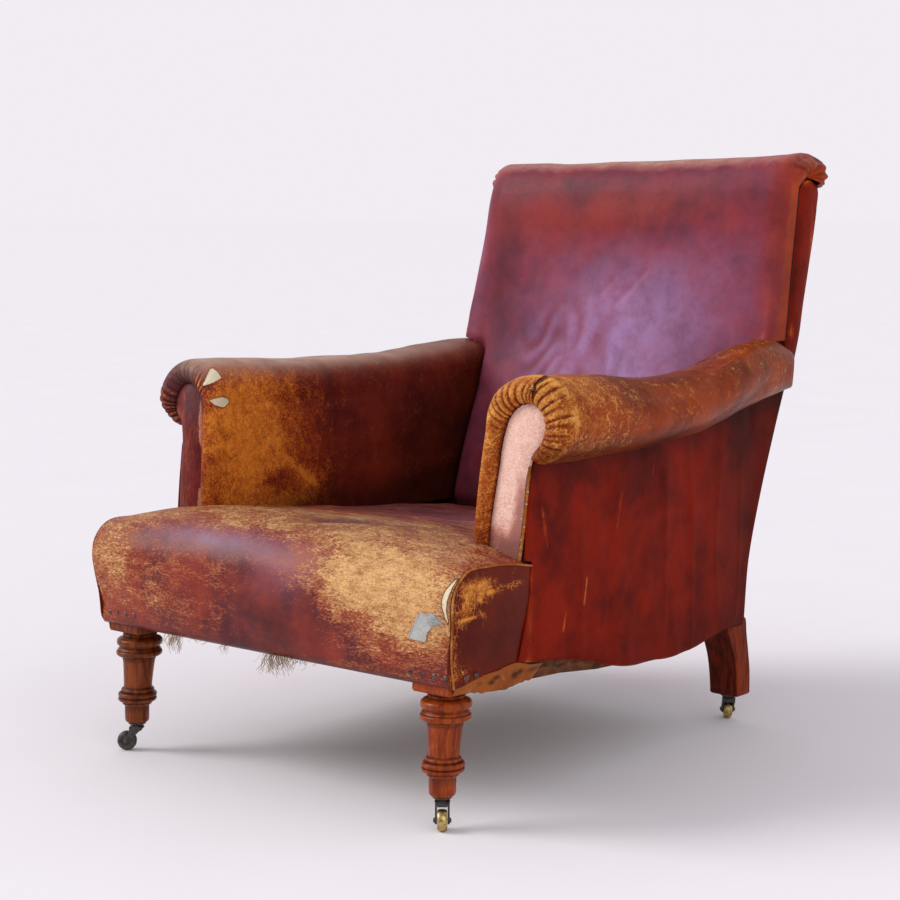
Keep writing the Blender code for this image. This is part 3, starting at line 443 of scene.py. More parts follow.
def leather(
    name, finish, thin, bare, haze_and_sheen, speckle=0.35, fleck=0.3, web=0.0, gloss=(0.36, 0.62), grain=1.0,
    lean=(1, 1, 1), shine=0.16, edge=None, gate=(0.14, 0.4),
):
    """Old dyed leather. The masks are wear, haze with painted sheen, and dark marks of dirt and painted
    shade; the finish flakes off to bare hide.

    finish and bare are (dark, light) pairs, thin is the finish where it has almost gone and haze the
    colour of the dusty bloom, which also serves as painted sheen where its mask is laid on as a highlight.
    speckle and fleck say how ragged the wear's edges are, coarsely and finely, and lean stretches that
    pattern. web is how much of a net of orange scratches shows, where the wear lies within gate. edge is
    a (dark, light) pair for the places in the mask named edge.
    """
    p = Paint(name)
    wear, haze_and_sheen_mask, dirt_and_shade = p.mask("wear"), p.mask("haze_and_sheen"), p.mask("dirt_and_shade")
    clouds = p.noise(16, 5, 0.6)
    patches = p.noise(52, 10, 0.76, where=p.stretched(lean), distortion=0.2)
    flecks = p.noise(330, 5, 0.75, where=p.stretched(lean))
    w = p.sum(wear, p.scaled(clouds, 0.35, -0.175))
    w = p.sum(w, p.scaled(patches, 2 * speckle, -speckle))
    w = p.sum(w, p.scaled(flecks, 2 * fleck, -fleck))
    thin_mask, bare_mask = p.ramp(w, *THINNING), p.ramp(w, *BARING)
    fine_cracks = p.ramp(p.cells(260, where=p.shaken(60, 0.012)), 0.02, 0.13, 1.0, 0.0)

    tone = p.ramp(p.noise(11, 6, 0.65), 0.3, 0.7)
    colour = p.mix(tone, *finish)
    if edge:
        colour = p.mix(p.mask("edge"), colour, p.mix(tone, *edge))
    colour = p.mix(p.times(thin_mask, 0.8), colour, thin)
    bare_tone = p.ramp(p.noise(85, 8, 0.8, where=p.stretched(lean)), 0.36, 0.6)
    colour = p.mix(bare_mask, colour, p.mix(bare_tone, *bare))
    cracks = p.times(fine_cracks, bare_mask)
    colour = p.mix(p.times(cracks, 0.3), colour, finish[0])
    specks = p.ramp(p.noise(240, 6, 0.75, where=p.stretched(lean)), 0.56, 0.66, 0.0, min(0.65, 2 * fleck))
    colour = p.mix(p.times(specks, thin_mask), colour, finish[0])
    if web:
        lines = p.ramp(p.cells(38, where=p.shaken(32, 0.05)), 0.0, 0.034, 1.0, 0.0)
        fine_lines = p.ramp(p.cells(110, where=p.shaken(70, 0.02)), 0.0, 0.075, 1.0, 0.0)
        shown = p.times(p.ramp(p.noise(55, 9, 0.8), 0.42, 0.6), p.ramp(w, *gate))
        lines = p.sum(p.times(lines, 0.9), p.times(fine_lines, 0.8), clamp=True)
        colour = p.mix(p.times(p.times(lines, shown), web), colour, bare[1])
    # Haze: dusty bloom, and painted sheen where its mask is laid on as a highlight. Then the dark mix: dirt,
    # and painted shade in creases, gaps and recesses.
    streaks = p.noise(30, 6, 0.7)
    sheen_and_bloom_share = p.times(haze_and_sheen_mask, p.ramp(streaks, 0.25, 0.7, 0.55))
    colour = p.mix(sheen_and_bloom_share, colour, haze_and_sheen)
    colour = p.mix(dirt_and_shade, colour, p.mix(0.8, colour, DIRT_AND_SHADE_COLOUR))

    rough = p.ramp(w, 0.4, 0.62, *gloss)
    rough = p.sum(rough, p.scaled(p.noise(120, 4, 0.6), 0.2, -0.1), clamp=True)
    p.bump(p.noise(26, 4, 0.5), 0.0018, 0.3 * grain)
    p.bump(p.cells(520, "F1"), 0.0003, 0.45 * grain)
    p.bump(cracks, -0.0005, 0.5 * grain)
    p.bump(bare_mask, -0.0003, 0.6)
    return p.done(colour, rough, Specular_IOR_Level=shine)


def cloth_weave(name, dark, light, scale, roughness=0.9, plane="XY"):
    """Woven cloth with its threads along the two axes of this plane."""
    p = Paint(name, roughness)
    over = p.node("TexWave", wave_type="BANDS", bands_direction=plane[0])
    across = p.node("TexWave", wave_type="BANDS", bands_direction=plane[1])
    for wave in (over, across):
        p.put(wave.inputs["Vector"], p.where)
        set_inputs(wave, Scale=scale / 6.28, Distortion=1.2, Detail_Scale=2)
    threads = p.sum(over.outputs["Fac"], across.outputs["Fac"], "MAXIMUM")
    threads = p.times(threads, p.ramp(p.noise(260, 4, 0.7), 0.3, 0.6, 0.4))
    stain = p.ramp(p.noise(110, 6, 0.7), 0.38, 0.62)
    colour = p.mix(p.times(threads, 0.7), dark, p.mix(stain, light, p.mix(0.45, light, dark)))
    p.bump(threads, 0.0006, 0.7)
    return p.done(colour)


WOOD_RINGS, WOOD_PORES = 16, 112
GROOVE_DIRT = (0.022, 0.005, 0.002)


def wood(name, dark, light, gloss=0.3, dust=0.0, along=(9, 9, 1.2), shine=0.16, pore=0.55):
    """Wood with its grain along Z (or as along says); dust is how much dirt lies in the mask of that name."""
    p = Paint(name)
    place = p.stretched(along, where=p.shaken(5, 0.02))
    rings = p.noise(WOOD_RINGS, 7, 0.6, where=place, distortion=0.6)
    pores = p.noise(WOOD_PORES, 3, 0.6, where=place)
    colour = p.mix(p.ramp(rings, 0.34, 0.68), dark, light)
    colour = p.mix(p.ramp(pores, 0.5, 0.66, 0.0, pore), colour, tuple(c * 0.35 for c in dark))
    stains = p.ramp(p.noise(40, 6, 0.65), 0.5, 0.72, 0.0, pore + 0.2)
    colour = p.mix(stains, colour, tuple(c * 0.3 for c in dark))
    rough = p.ramp(p.noise(60, 4, 0.6), 0.3, 0.7, gloss, gloss + 0.22)
    if dust:
        lying = p.times(p.mask("dust"), p.ramp(p.noise(90, 4, 0.6), 0.25, 0.6, 0.35))
        colour = p.mix(p.times(lying, dust), colour, GROOVE_DIRT)
        rough = p.sum(rough, p.times(lying, 0.35), clamp=True)
    p.bump(pores, 0.0004, 0.5)
    p.bump(p.noise(70, 5, 0.6), 0.0006, 0.4)
    return p.done(colour, rough, Specular_IOR_Level=shine)


TARNISH_STARTS, TARNISH_FULL = 0.42, 0.66


def metal(name, colour, tarnish, roughness, metallic=1.0):
    p = Paint(name, metallic=metallic)
    patches = p.noise(160, 6, 0.65)
    shade = p.mix(p.ramp(patches, TARNISH_STARTS, TARNISH_FULL), colour, tarnish)
    rough = p.ramp(patches, TARNISH_STARTS, TARNISH_FULL, roughness, min(0.85, roughness + 0.35))
    p.bump(p.noise(420, 4, 0.6), 0.0003, 0.5)
    return p.done(shade, rough)


# ---------------------------------------------------------------- materials
SEAT_HIDE = leather(
    "seat_leather", ((0.06, 0.007, 0.01), (0.26, 0.028, 0.01)), (0.41, 0.088, 0.024),
    ((0.49, 0.215, 0.066), (0.83, 0.468, 0.186)), (0.31, 0.2, 0.31),
    speckle=0.38, fleck=0.5, gloss=(0.36, 0.6), lean=(0.55, 1, 1.5),
)
GUSSET_HIDE = leather(
    "gusset_leather", ((0.085, 0.006, 0.002), (0.16, 0.014, 0.003)), (0.33, 0.06, 0.008),
    ((0.56, 0.16, 0.018), (0.88, 0.36, 0.06)), (0.2, 0.12, 0.1), speckle=0.34, web=1.0, shine=0.07,
    gate=(0.24, 0.44),
)
ARM_HIDE = leather(
    "arm_leather", ((0.1, 0.011, 0.002), (0.31, 0.042, 0.004)), (0.4, 0.094, 0.01),
    ((0.5, 0.165, 0.026), (0.82, 0.36, 0.08)), (0.36, 0.2, 0.11),
    speckle=0.42, web=1.0, gloss=(0.38, 0.58), shine=0.07, gate=(0.18, 0.42),
)
INNER_ARM_HIDE = leather(
    "inner_arm_leather", ((0.085, 0.005, 0.003), (0.2, 0.018, 0.005)), (0.42, 0.07, 0.006),
    ((0.56, 0.13, 0.008), (0.9, 0.285, 0.026)), (0.52, 0.31, 0.23),
    speckle=0.4, fleck=0.42, web=0.25, gloss=(0.38, 0.54), shine=0.12,
    edge=((0.055, 0.012, 0.018), (0.16, 0.026, 0.03)),
)
BACK_HIDE = leather(
    "back_leather", ((0.11, 0.012, 0.02), (0.27, 0.026, 0.025)), (0.36, 0.1, 0.07),
    ((0.35, 0.16, 0.11), (0.52, 0.29, 0.2)), (0.45, 0.255, 0.51),
    speckle=0.16, fleck=0.06, gloss=(0.42, 0.56), grain=0.6, shine=0.1,
    edge=((0.23, 0.02, 0.004), (0.42, 0.05, 0.006)),
)
SIDE_HIDE = leather(
    "side_leather", ((0.09, 0.005, 0.002), (0.25, 0.012, 0.002)), (0.36, 0.036, 0.004),
    ((0.56, 0.14, 0.016), (0.76, 0.32, 0.06)), (0.2, 0.05, 0.03),
    speckle=0.28, fleck=0.16, gloss=(0.46, 0.6), lean=(1.6, 1.6, 0.45), shine=0.03,
)
# The right facing's pale pink colours are painted sunlight: a lit copy of the facing leather.
SUNLIT_RIGHT_FACING_HIDE = leather(
    "sunlit_right_facing_leather", ((0.2, 0.05, 0.038), (0.38, 0.13, 0.1)), (0.64, 0.26, 0.19),
    ((0.86, 0.48, 0.38), (0.98, 0.66, 0.56)), (0.95, 0.64, 0.54), speckle=0.26, fleck=0.2,
)
LEFT_FACING_HIDE = leather(
    "left_facing_leather", ((0.05, 0.006, 0.009), (0.21, 0.012, 0.01)), (0.24, 0.032, 0.014),
    ((0.62, 0.19, 0.09), (0.82, 0.38, 0.22)), (0.14, 0.08, 0.095), speckle=0.3, fleck=0.2, shine=0.08,
    lean=(1.8, 1.8, 0.4),
)
TAN_HIDE = leather(
    "tan_leather", ((0.23, 0.05, 0.008), (0.36, 0.1, 0.018)), (0.46, 0.16, 0.032),
    ((0.52, 0.22, 0.06), (0.7, 0.36, 0.12)), (0.4, 0.25, 0.15), speckle=0.34, shine=0.08,
)
LINEN = cloth_weave("linen", (0.42, 0.42, 0.41), (0.86, 0.85, 0.8), 4200, plane="XZ")
CREAM = cloth_weave(
    "torn_hide_cream", (0.76, 0.63, 0.42), (0.95, 0.88, 0.72), 1400, roughness=0.8, plane="YZ"
)
JUTE = cloth_weave("jute", (0.15, 0.095, 0.045), (0.4, 0.28, 0.15), 1100)
CANVAS = cloth_weave("canvas", (0.2, 0.15, 0.09), (0.43, 0.34, 0.22), 1500)
TURNED = {"gloss": 0.16, "dust": 0.85, "shine": 0.2}
LEG_WOOD = wood("leg_wood", (0.17, 0.018, 0.001), (0.4, 0.064, 0.004), pore=0.18, **TURNED)
DARK_LEG_WOOD = wood("dark_leg_wood", (0.1, 0.016, 0.002), (0.27, 0.056, 0.008), pore=0.25, **TURNED)
# Lighter copy of the back legs' wood, for their outer faces: painted light on the side that faces out.
LIT_LEG_SIDE_WOOD = wood("lit_leg_side_wood", (0.11, 0.01, 0.001), (0.26, 0.034, 0.002), 0.36, shine=0.08, pore=0.3)
BACK_LEG_WOOD = wood(
    "back_leg_wood", (0.05, 0.003, 0.001), (0.17, 0.014, 0.001), dust=0.5, pore=0.4, shine=0.12
)
RAIL_WOOD = wood("rail_wood", (0.045, 0.01, 0.002), (0.18, 0.055, 0.012), 0.5, along=(9, 1.2, 9))
CROSS_WOOD = wood("cross_rail_wood", (0.14, 0.05, 0.015), (0.34, 0.16, 0.055), 0.6, along=(1.2, 9, 9))
BRASS = metal("brass", (0.56, 0.4, 0.16), (0.24, 0.16, 0.07), 0.24)
DULL_BRASS = metal("dull_brass", (0.13, 0.095, 0.06), (0.05, 0.04, 0.034), 0.42)
DARK_WHEEL = metal("dark_wheel", (0.09, 0.075, 0.062), (0.034, 0.028, 0.025), 0.4, metallic=0.7)
IRON = metal("iron", (0.07, 0.064, 0.06), (0.03, 0.026, 0.024), 0.46, metallic=0.6)
TACK = metal("tack_tin", (0.6, 0.58, 0.56), (0.3, 0.26, 0.23), 0.4, metallic=0.3)
NAIL = metal("nail_bronze", (0.15, 0.08, 0.07), (0.055, 0.026, 0.026), 0.34, metallic=0.7)
STEEL = metal("spring_steel", (0.24, 0.22, 0.2), (0.11, 0.055, 0.03), 0.42)
HAIR = wood("horsehair", (0.2, 0.11, 0.045), (0.44, 0.28, 0.12), 0.55, pore=0.2)
# Near-black leather that stands in for shade: painted shade in the gap beside each facing, along the back's
# seams and in the slit.
SHADOW = leather(
    "painted_shadow", ((0.01, 0.004, 0.003), (0.022, 0.006, 0.004)), (0.03, 0.01, 0.006),
    ((0.04, 0.012, 0.008), (0.05, 0.016, 0.01)), (0.03, 0.02, 0.02), speckle=0.1, fleck=0.1,
)


# ---------------------------------------------------------------- seat
SEAT_MIDDLE = [
    (-0.019, 0.185), (-0.03, 0.19), (-0.04, 0.215), (-0.043, 0.262), (-0.034, 0.312),
    (-0.005, 0.345), (0.045, 0.359), (0.114, 0.358), (0.17, 0.35), (0.28, 0.334),
    (0.4, 0.318), (0.52, 0.304), (0.6, 0.295), (0.645, 0.29), (0.668, 0.272),
]
SEAT_EDGE = [
    (-0.019, 0.185), (-0.028, 0.19), (-0.0285, 0.215), (-0.028, 0.262), (-0.023, 0.308),
    (-0.005, 0.328), (0.045, 0.333), (0.114, 0.327), (0.17, 0.338), (0.28, 0.329),
    (0.4, 0.317), (0.52, 0.307), (0.6, 0.299), (0.645, 0.293), (0.668, 0.275),
]
WING_X, ARM_LINE_X, WING_BACK_Y = 0.3265, 0.2585, 0.137
SEAT_ROWS = 170


def seat_grid(xs):
    middle, edge = path_through(SEAT_MIDDLE, SEAT_ROWS), path_through(SEAT_EDGE, SEAT_ROWS)
    across = np.abs(xs)[None, :]
    behind = step(middle[:, :1], 0.1, 0.18)
    crown = (1 - np.minimum(1, across / 0.33) ** 4) * (1 - behind)
    crown = crown + (1 - np.minimum(1, across / 0.2545) ** 2.2) * behind
    grid = np.zeros((SEAT_ROWS, len(xs), 3))
    grid[..., 0] = xs[None, :]
    grid[..., 1:] = edge[:, None] + crown[..., None] * (middle - edge)[:, None]
    # The leather dips into the crease beside each arm, and the wings end under the facings.
    depth = grid[..., 1]
    beside = step(across, 0.236, 0.259) * step(depth, 0.125, 0.165)
    grid[..., 2] -= 0.026 * beside
    grid[..., 2] -= 0.024 * step(depth, 0.112, 0.137) * step(across, 0.25, 0.262)
    return grid


def corner_bulge(points):
    """The stuffing of the seat's left front corner has worked outwards: this moves it there."""
    x, y, z = points[..., 0], points[..., 1], points[..., 2]
    high = step(z, 0.205, 0.285) * (1 - 0.35 * step(z, 0.32, 0.35))
    near = step(-x, 0.215, 0.32) * (1 - step(y, 0.03, 0.135))
    moved = np.array(points, float)
    moved[..., 0] -= 0.0105 * high * near
    moved[..., 1] -= 0.0085 * high * near
    return moved


wing_columns = np.linspace(ARM_LINE_X, WING_X, 18)
seat_xs = np.concatenate([-wing_columns[::-1], np.linspace(-ARM_LINE_X, ARM_LINE_X, 118)[1:-1], wing_columns])
seat = seat_grid(seat_xs)
beyond_wings = (seat[1:, 0, 1] > WING_BACK_Y)[:, None]
seat_keep = ~(beyond_wings & (np.abs(seat_xs[:-1] + seat_xs[1:]) / 2 > ARM_LINE_X))
x, y, z = seat[..., 0], seat[..., 1], seat[..., 2]
free = step(WING_X - np.abs(x), 0.0, 0.02) * step(z, 0.195, 0.225)
height = free * (0.0022 * lumps(seat, 11, 3) + 0.0011 * lumps(seat, 26, 5))
valley = bell(y - 0.45 * (x - 0.03), 0.075, 0.022) * step(x, -0.03, 0.04) * step(0.19 - x, 0, 0.06)
height -= free * 0.0072 * valley
height += free * 0.0011 * creases(seat * (1.0, 2.2, 2.2), 15, 8) * step(z, 0.3, 0.22)
height -= free * 0.0016 * creases(seat, 20, 12) * bell(np.abs(x), 0.235, 0.035) * bell(y, 0.1, 0.05)
seat = corner_bulge(raised(seat, height))
seat_wear = spots(
    seat, 0.44,
    ((0.2, -0.03, 0.31), (0.1, 0.07, 0.042), 0.42),
    ((0.27, -0.02, 0.262), (0.05, 0.05, 0.04), 0.2),
    ((0.14, -0.03, 0.265), (0.06, 0.05, 0.04), 0.05),
    ((-0.3, 0.0, 0.29), (0.05, 0.08, 0.055), 0.18),
    ((0.16, -0.03, 0.197), (0.11, 0.05, 0.006), 0.12),
    ((0.0, 0.1, 0.36), (0.4, 0.16, 0.03), 0.14),
    ((-0.07, -0.04, 0.33), (0.15, 0.03, 0.02), -0.14),
    ((0.0, -0.03, 0.185), (0.4, 0.06, 0.03), -0.16),
    ((0.04, -0.04, 0.248), (0.105, 0.05, 0.05), -0.28),
    ((0.0, 0.48, 0.3), (0.4, 0.16, 0.09), -0.05),
)
# Haze on the seat: a painted sheen along the front roll, and dusty bloom elsewhere.
seat_haze_and_sheen = spots(
    seat, 0.03,
    ((-0.1, -0.03, 0.334), (0.12, 0.03, 0.013), 0.8),
    ((0.04, -0.03, 0.3), (0.05, 0.03, 0.03), 0.25),
    ((0.06, 0.1, 0.35), (0.05, 0.05, 0.03), 0.06),
    ((0.0, 0.45, 0.31), (0.3, 0.2, 0.06), 0.3),
)
seat_dirt_and_shade = spots(
    seat, 0.0,
    ((0.0, -0.04, 0.184), (0.4, 0.04, 0.012), 0.5),
    ((0.035, -0.04, 0.23), (0.03, 0.04, 0.035), 0.45),
    ((0.322, -0.03, 0.3), (0.006, 0.05, 0.025), 0.35),
    ((0.0, 0.12, 0.36), (0.4, 0.13, 0.03), 0.42),
)
# Painted shade in the crease beside each arm and in the valley on top, which is also kept less worn.
seat_dirt_and_shade = seat_dirt_and_shade + 0.7 * step(np.abs(x), 0.236, 0.256) * step(y, 0.13, 0.17) + 0.3 * valley
seat_masks = {"wear": seat_wear - 0.16 * valley, "haze_and_sheen": seat_haze_and_sheen, "dirt_and_shade": np.clip(seat_dirt_and_shade, 0, 1)}
seat_hide = skin(
    "seat_hide", seat, SEAT_HIDE, seat_masks, keep=seat_keep,
    stands_for=("seat_cover", "seat_stuffing"),
)


# ---------------------------------------------------------------- arms
# Front view of the right facing: up the inner edge, over the head and in to the neck.
FACING_PATH = [
    (0.2706, 0.33), (0.2722, 0.377), (0.2785, 0.443), (0.283, 0.486), (0.2915, 0.5115),
    (0.308, 0.5265), (0.329, 0.5275), (0.343, 0.517), (0.349, 0.4985), (0.345, 0.483),
    (0.3375, 0.4735), (0.3305, 0.465), (0.3265, 0.457),
]
FACING_SPINE = [(0.294, 0.342), (0.2955, 0.38), (0.2995, 0.43), (0.308, 0.475), (0.317, 0.5)]
ARM_INNER_X = 0.257
SEAT_LINE = 0.3  # how far down the inside of the arm the leather goes
FRONT_ROWS, ALONG_ROWS, ROUND_COLUMNS = 34, 84, 300
STEM_POINTS, HEAD_POINTS = 15, 48
SHARES = (0.0, 0.15, 0.4, 0.6, 0.8, 0.92, 1.0)
# Heights of the roll's top and underside and its widest place, along each arm.
ROLL_TOP = {
    1: (0.566, 0.561, 0.547, 0.554, 0.582, 0.58, 0.565),
    -1: (0.557, 0.5535, 0.548, 0.547, 0.554, 0.562, 0.56),
}
ROLL_LOW = {
    1: (0.452, 0.451, 0.455, 0.465, 0.488, 0.498, 0.505),
    -1: (0.455, 0.454, 0.456, 0.463, 0.48, 0.49, 0.495),
}
ROLL_OUT = {
    1: (0.396, 0.394, 0.388, 0.381, 0.37, 0.357, 0.345),
    -1: (0.376, 0.376, 0.374, 0.37, 0.362, 0.352, 0.341),
}
ROLL_END = ((0.29, 0.3, 0.31, 0.33, 0.345, 0.357), (0.806, 0.802, 0.79, 0.767, 0.744, 0.702))
REAR_EDGE = (
    (0.155, 0.25, 0.36, 0.46, 0.55, 0.68, 0.81),
    (0.6985, 0.71, 0.745, 0.785, 0.823, 0.857, 0.885),
)
POST_FRONT = (
    (0.25, 0.3, 0.36, 0.46, 0.55, 0.68, 0.85),
    (0.655, 0.68, 0.705, 0.738, 0.775, 0.805, 0.832),
)


def facing_y(z):
    return 0.112 + 0.118 * (z - 0.33)


def side_x(y):
    return np.interp(y, (0.04, 0.7), (0.3313, 0.2948))


def rear_y(z):
    return table(z, *REAR_EDGE)


def post_front_y(z):
    return np.interp(z, *POST_FRONT)


def facing_shape(side, points):
    """The left facing has a smaller head than the right one."""
    points = np.array(points, float)
    if side < 0:
        head = step(points[:, 1], 0.45, 0.515)
        points[:, 1] -= 0.007 * head
        points[:, 0] -= 0.007 * head * step(points[:, 0], 0.3, 0.345)
    return points


def arm_ring(share, side):
    """Outside of the arm at this share of its length: up the inner face, over, and to the neck."""
    top, low, outer = (table(share, SHARES, heights[side]) for heights in (ROLL_TOP, ROLL_LOW, ROLL_OUT))
    x, z = (outer + ARM_INNER_X) / 2, (top + low) / 2
    half_x, half_z = outer - x, (top - low) / 2
    swell = table(share, SHARES, (0.0085, 0.008, 0.0055, 0.0035, 0.0025, 0.002, 0.0015))
    points = []
    for k in range(STEM_POINTS):
        rise = k / STEM_POINTS
        inner = ARM_INNER_X - swell * sin(pi * rise) ** 0.8 * (1 - 0.3 * rise)
        points.append((inner, SEAT_LINE + (z - SEAT_LINE) * rise))
    for turn in np.radians(np.linspace(180, -80, HEAD_POINTS)):
        inside = turn > pi / 2
        full = 0.88 if inside else 1.0
        reach = half_x + (0.3 * swell if inside else 0) * abs(cos(turn))
        points.append((
            x + np.sign(cos(turn)) * reach * abs(cos(turn)) ** full,
            z + half_z * np.sign(sin(turn)) * abs(sin(turn)) ** full,
        ))
    neck = float(side_x(0.13 + 0.6 * share)) - 0.005
    points = np.array([*points, (neck, points[-1][1] + 0.005)])
    run = lengths_along(points)
    return read_off(np.linspace(0, run[-1], ROUND_COLUMNS), run, points)


def facing_ring(side):
    """The facing's outline as the same number of points, each near its point of the arm's ring."""
    ring = arm_ring(0.0, side)
    outline = facing_shape(side, path_through(FACING_PATH, 400))
    low, wide = (0.0, 0.0) if side > 0 else (0.009, 0.02)
    anchors = [
        (0.256, SEAT_LINE), (0.25, 0.44), (0.26, 0.53), (0.288, 0.56 - low), (0.328, 0.566 - low),
        (0.37 - wide, 0.553 - low), (0.396 - wide, 0.509), (0.38 - wide, 0.47), (0.35, 0.4555),
        (0.331, 0.458),
    ]
    targets = facing_shape(side, [
        (0.2706, 0.33), (0.2785, 0.44), (0.287, 0.504), (0.298, 0.519), (0.318, 0.529), (0.336, 0.524),
        (0.349, 0.4985), (0.345, 0.483), (0.3375, 0.4735), (0.3265, 0.457),
    ])
    on_ring = [int(np.argmin(np.linalg.norm(ring - a, axis=1))) for a in anchors]
    on_outline = [int(np.argmin(np.linalg.norm(outline - t, axis=1))) for t in targets]
    on_ring[0], on_ring[-1] = 0, ROUND_COLUMNS - 1
    on_outline[0], on_outline[-1] = 0, len(outline) - 1
    places = np.interp(np.arange(ROUND_COLUMNS), on_ring, on_outline)
    return read_off(places, np.arange(len(outline)), outline)


# Gathers on the inner face are narrower than those over the head of the arm.
GATHERS_SPLIT, INNER_GATHER = 0.21, 0.0085
OUTER_GATHER = {-1: 0.0118, 1: 0.0125}
ARM_SEED = {-1: 21, 1: 34}


def pleats(run, side):
    """Gathers along the ring: wide crests between narrow valleys, each of its own width.

    Gives the height from -1 to 1 and the length, from 0 to 1, of the gather at each place.
    """
    draw = random.Random(ARM_SEED[side])
    edges = [-0.06]
    while edges[-1] < 0.62:
        width = INNER_GATHER if edges[-1] < GATHERS_SPLIT else OUTER_GATHER[side]
        edges.append(edges[-1] + width * draw.uniform(0.55, 1.5))
    edges = np.array(edges)
    depth = np.array([draw.uniform(0.45, 1.0) for _ in edges])
    length = np.array([draw.uniform(0.0, 1.0) for _ in edges])
    k = np.clip(np.searchsorted(edges, run) - 1, 0, len(edges) - 2)
    place = np.clip((run - edges[k]) / (edges[k + 1] - edges[k]), 0, 1)
    crest = 1 - np.abs(2 * place - 1) ** 2.8
    lengths = length[k] + place * (length[k + 1] - length[k])
    return (crest - 0.55) * (depth[k] + place * (depth[k + 1] - depth[k])), lengths


def arm_rows(side):
    """The arm's leather before it is gathered, the run round each row, and each row's band.

    The band goes from 0 to 1 over the gathered front and on to 2 along the roll.
    """
    ring, facing = arm_ring(0.0, side), facing_ring(side)
    run = lengths_along(ring)
    far = run[-1]
    roundness = np.arange(ROUND_COLUMNS) / ROUND_COLUMNS
    fat = (0.028 if side > 0 else 0.024) - 0.011 * (1 - step(run, 0.0, 0.07))
    fat = fat - 0.014 * step(run, far - 0.085, far - 0.01) - 0.009 * step(run, far - 0.022, far)
    rows, across_band = [], []
    turns = np.radians(np.linspace(-68, 88, FRONT_ROWS))
    for turn in turns:
        share = 0.5 + 0.5 * sin(turn) if turn > 0 else 0.5 + 0.525 * sin(turn)
        across = facing + (ring - facing) * share
        y = facing_y(across[:, 1]) + 0.012 - fat * cos(turn)
        rows.append(np.stack([across[:, 0], y, across[:, 1]], axis=1))
        across_band.append((turn - turns[0]) / (turns[-1] - turns[0]))
    # Only the roll runs on beside the back post; below it the leather stops inside.
    roll = step(roundness, 0.44, 0.58)
    for share in np.linspace(0.0, 1.0, ALONG_ROWS)[1:]:
        across = arm_ring(share, side)
        front = facing_y(across[:, 1]) + 0.012
        rear = post_front_y(across[:, 1]) - 0.004 + roll * 0.036
        rear = np.where(roundness > 0.5, np.minimum(rear, np.interp(across[:, 0], *ROLL_END)), rear)
        rows.append(np.stack([across[:, 0], front + share * (rear - front), across[:, 1]], axis=1))
        across_band.append(1.0 + share)
    # The roll's rear end is drawn in towards the post.
    end = rows[-1]
    centre = np.array([0.3, 0.796, 0.53])
    for turn in np.radians((25, 50, 72, 90)):
        row = end.copy()
        outer = step(end[:, 0], 0.262, 0.3)
        row += outer[:, None] * (centre - end) * (1 - cos(turn)) * np.array([0.97, 0.6, 0.97])
        row[:, 1] += 0.005 * sin(turn) * outer
        rows.append(row)
        across_band.append(2.0)
    return np.array(rows), run, np.array(across_band)[:, None]


def arm_grid(side):
    """The arm's leather, its valleys, which get painted shade, and worn crests, and each row's band."""
    seed = ARM_SEED[side]
    grid, run, band = arm_rows(side)
    none = 0 * grid[..., 0]
    wander = 0.0045 * lumps(np.stack([none + band, none + run, none], axis=2) * (2.2, 30, 1), 1.0, seed)
    gather, length = pleats(run[None, :] + wander * np.minimum(band, 1), side)
    inner = 1 - step(run, 0.19, 0.262)[None, :]
    reach = inner * (0.24 + 0.3 * length) + (1 - inner) * (0.62 + 0.42 * length)
    fade = 1 - step(band, reach - 0.28, reach)
    low = step(run, 0.012, 0.05)[None, :]
    gathered = gather * fade * (0.4 + 0.6 * low)
    height = gathered * (0.0016 * inner + 0.0034 * (1 - inner))
    free = step(run, 0.02, 0.07)[None, :] * step(band, 0.6, 1.1)
    height = height + free * (0.0016 * lumps(grid, 13, seed) + 0.0008 * lumps(grid, 31, seed + 1))
    height = height - free * 0.0008 * creases(grid * (1.0, 0.45, 1.0), 22, seed + 2)
    valleys = fade * np.clip(0.12 - gather, 0, 1) * (0.6 * inner + 1.3 * (1 - inner))
    # The strip next to the facing also counts as a valley, so that it gets painted shade.
    valleys = np.maximum(valleys, 0.75 * (1 - step(band, 0.02, 0.1)))
    return raised(grid, height), np.clip(valleys, 0, 1), (1 - inner) * np.clip(gathered, 0, 1), band


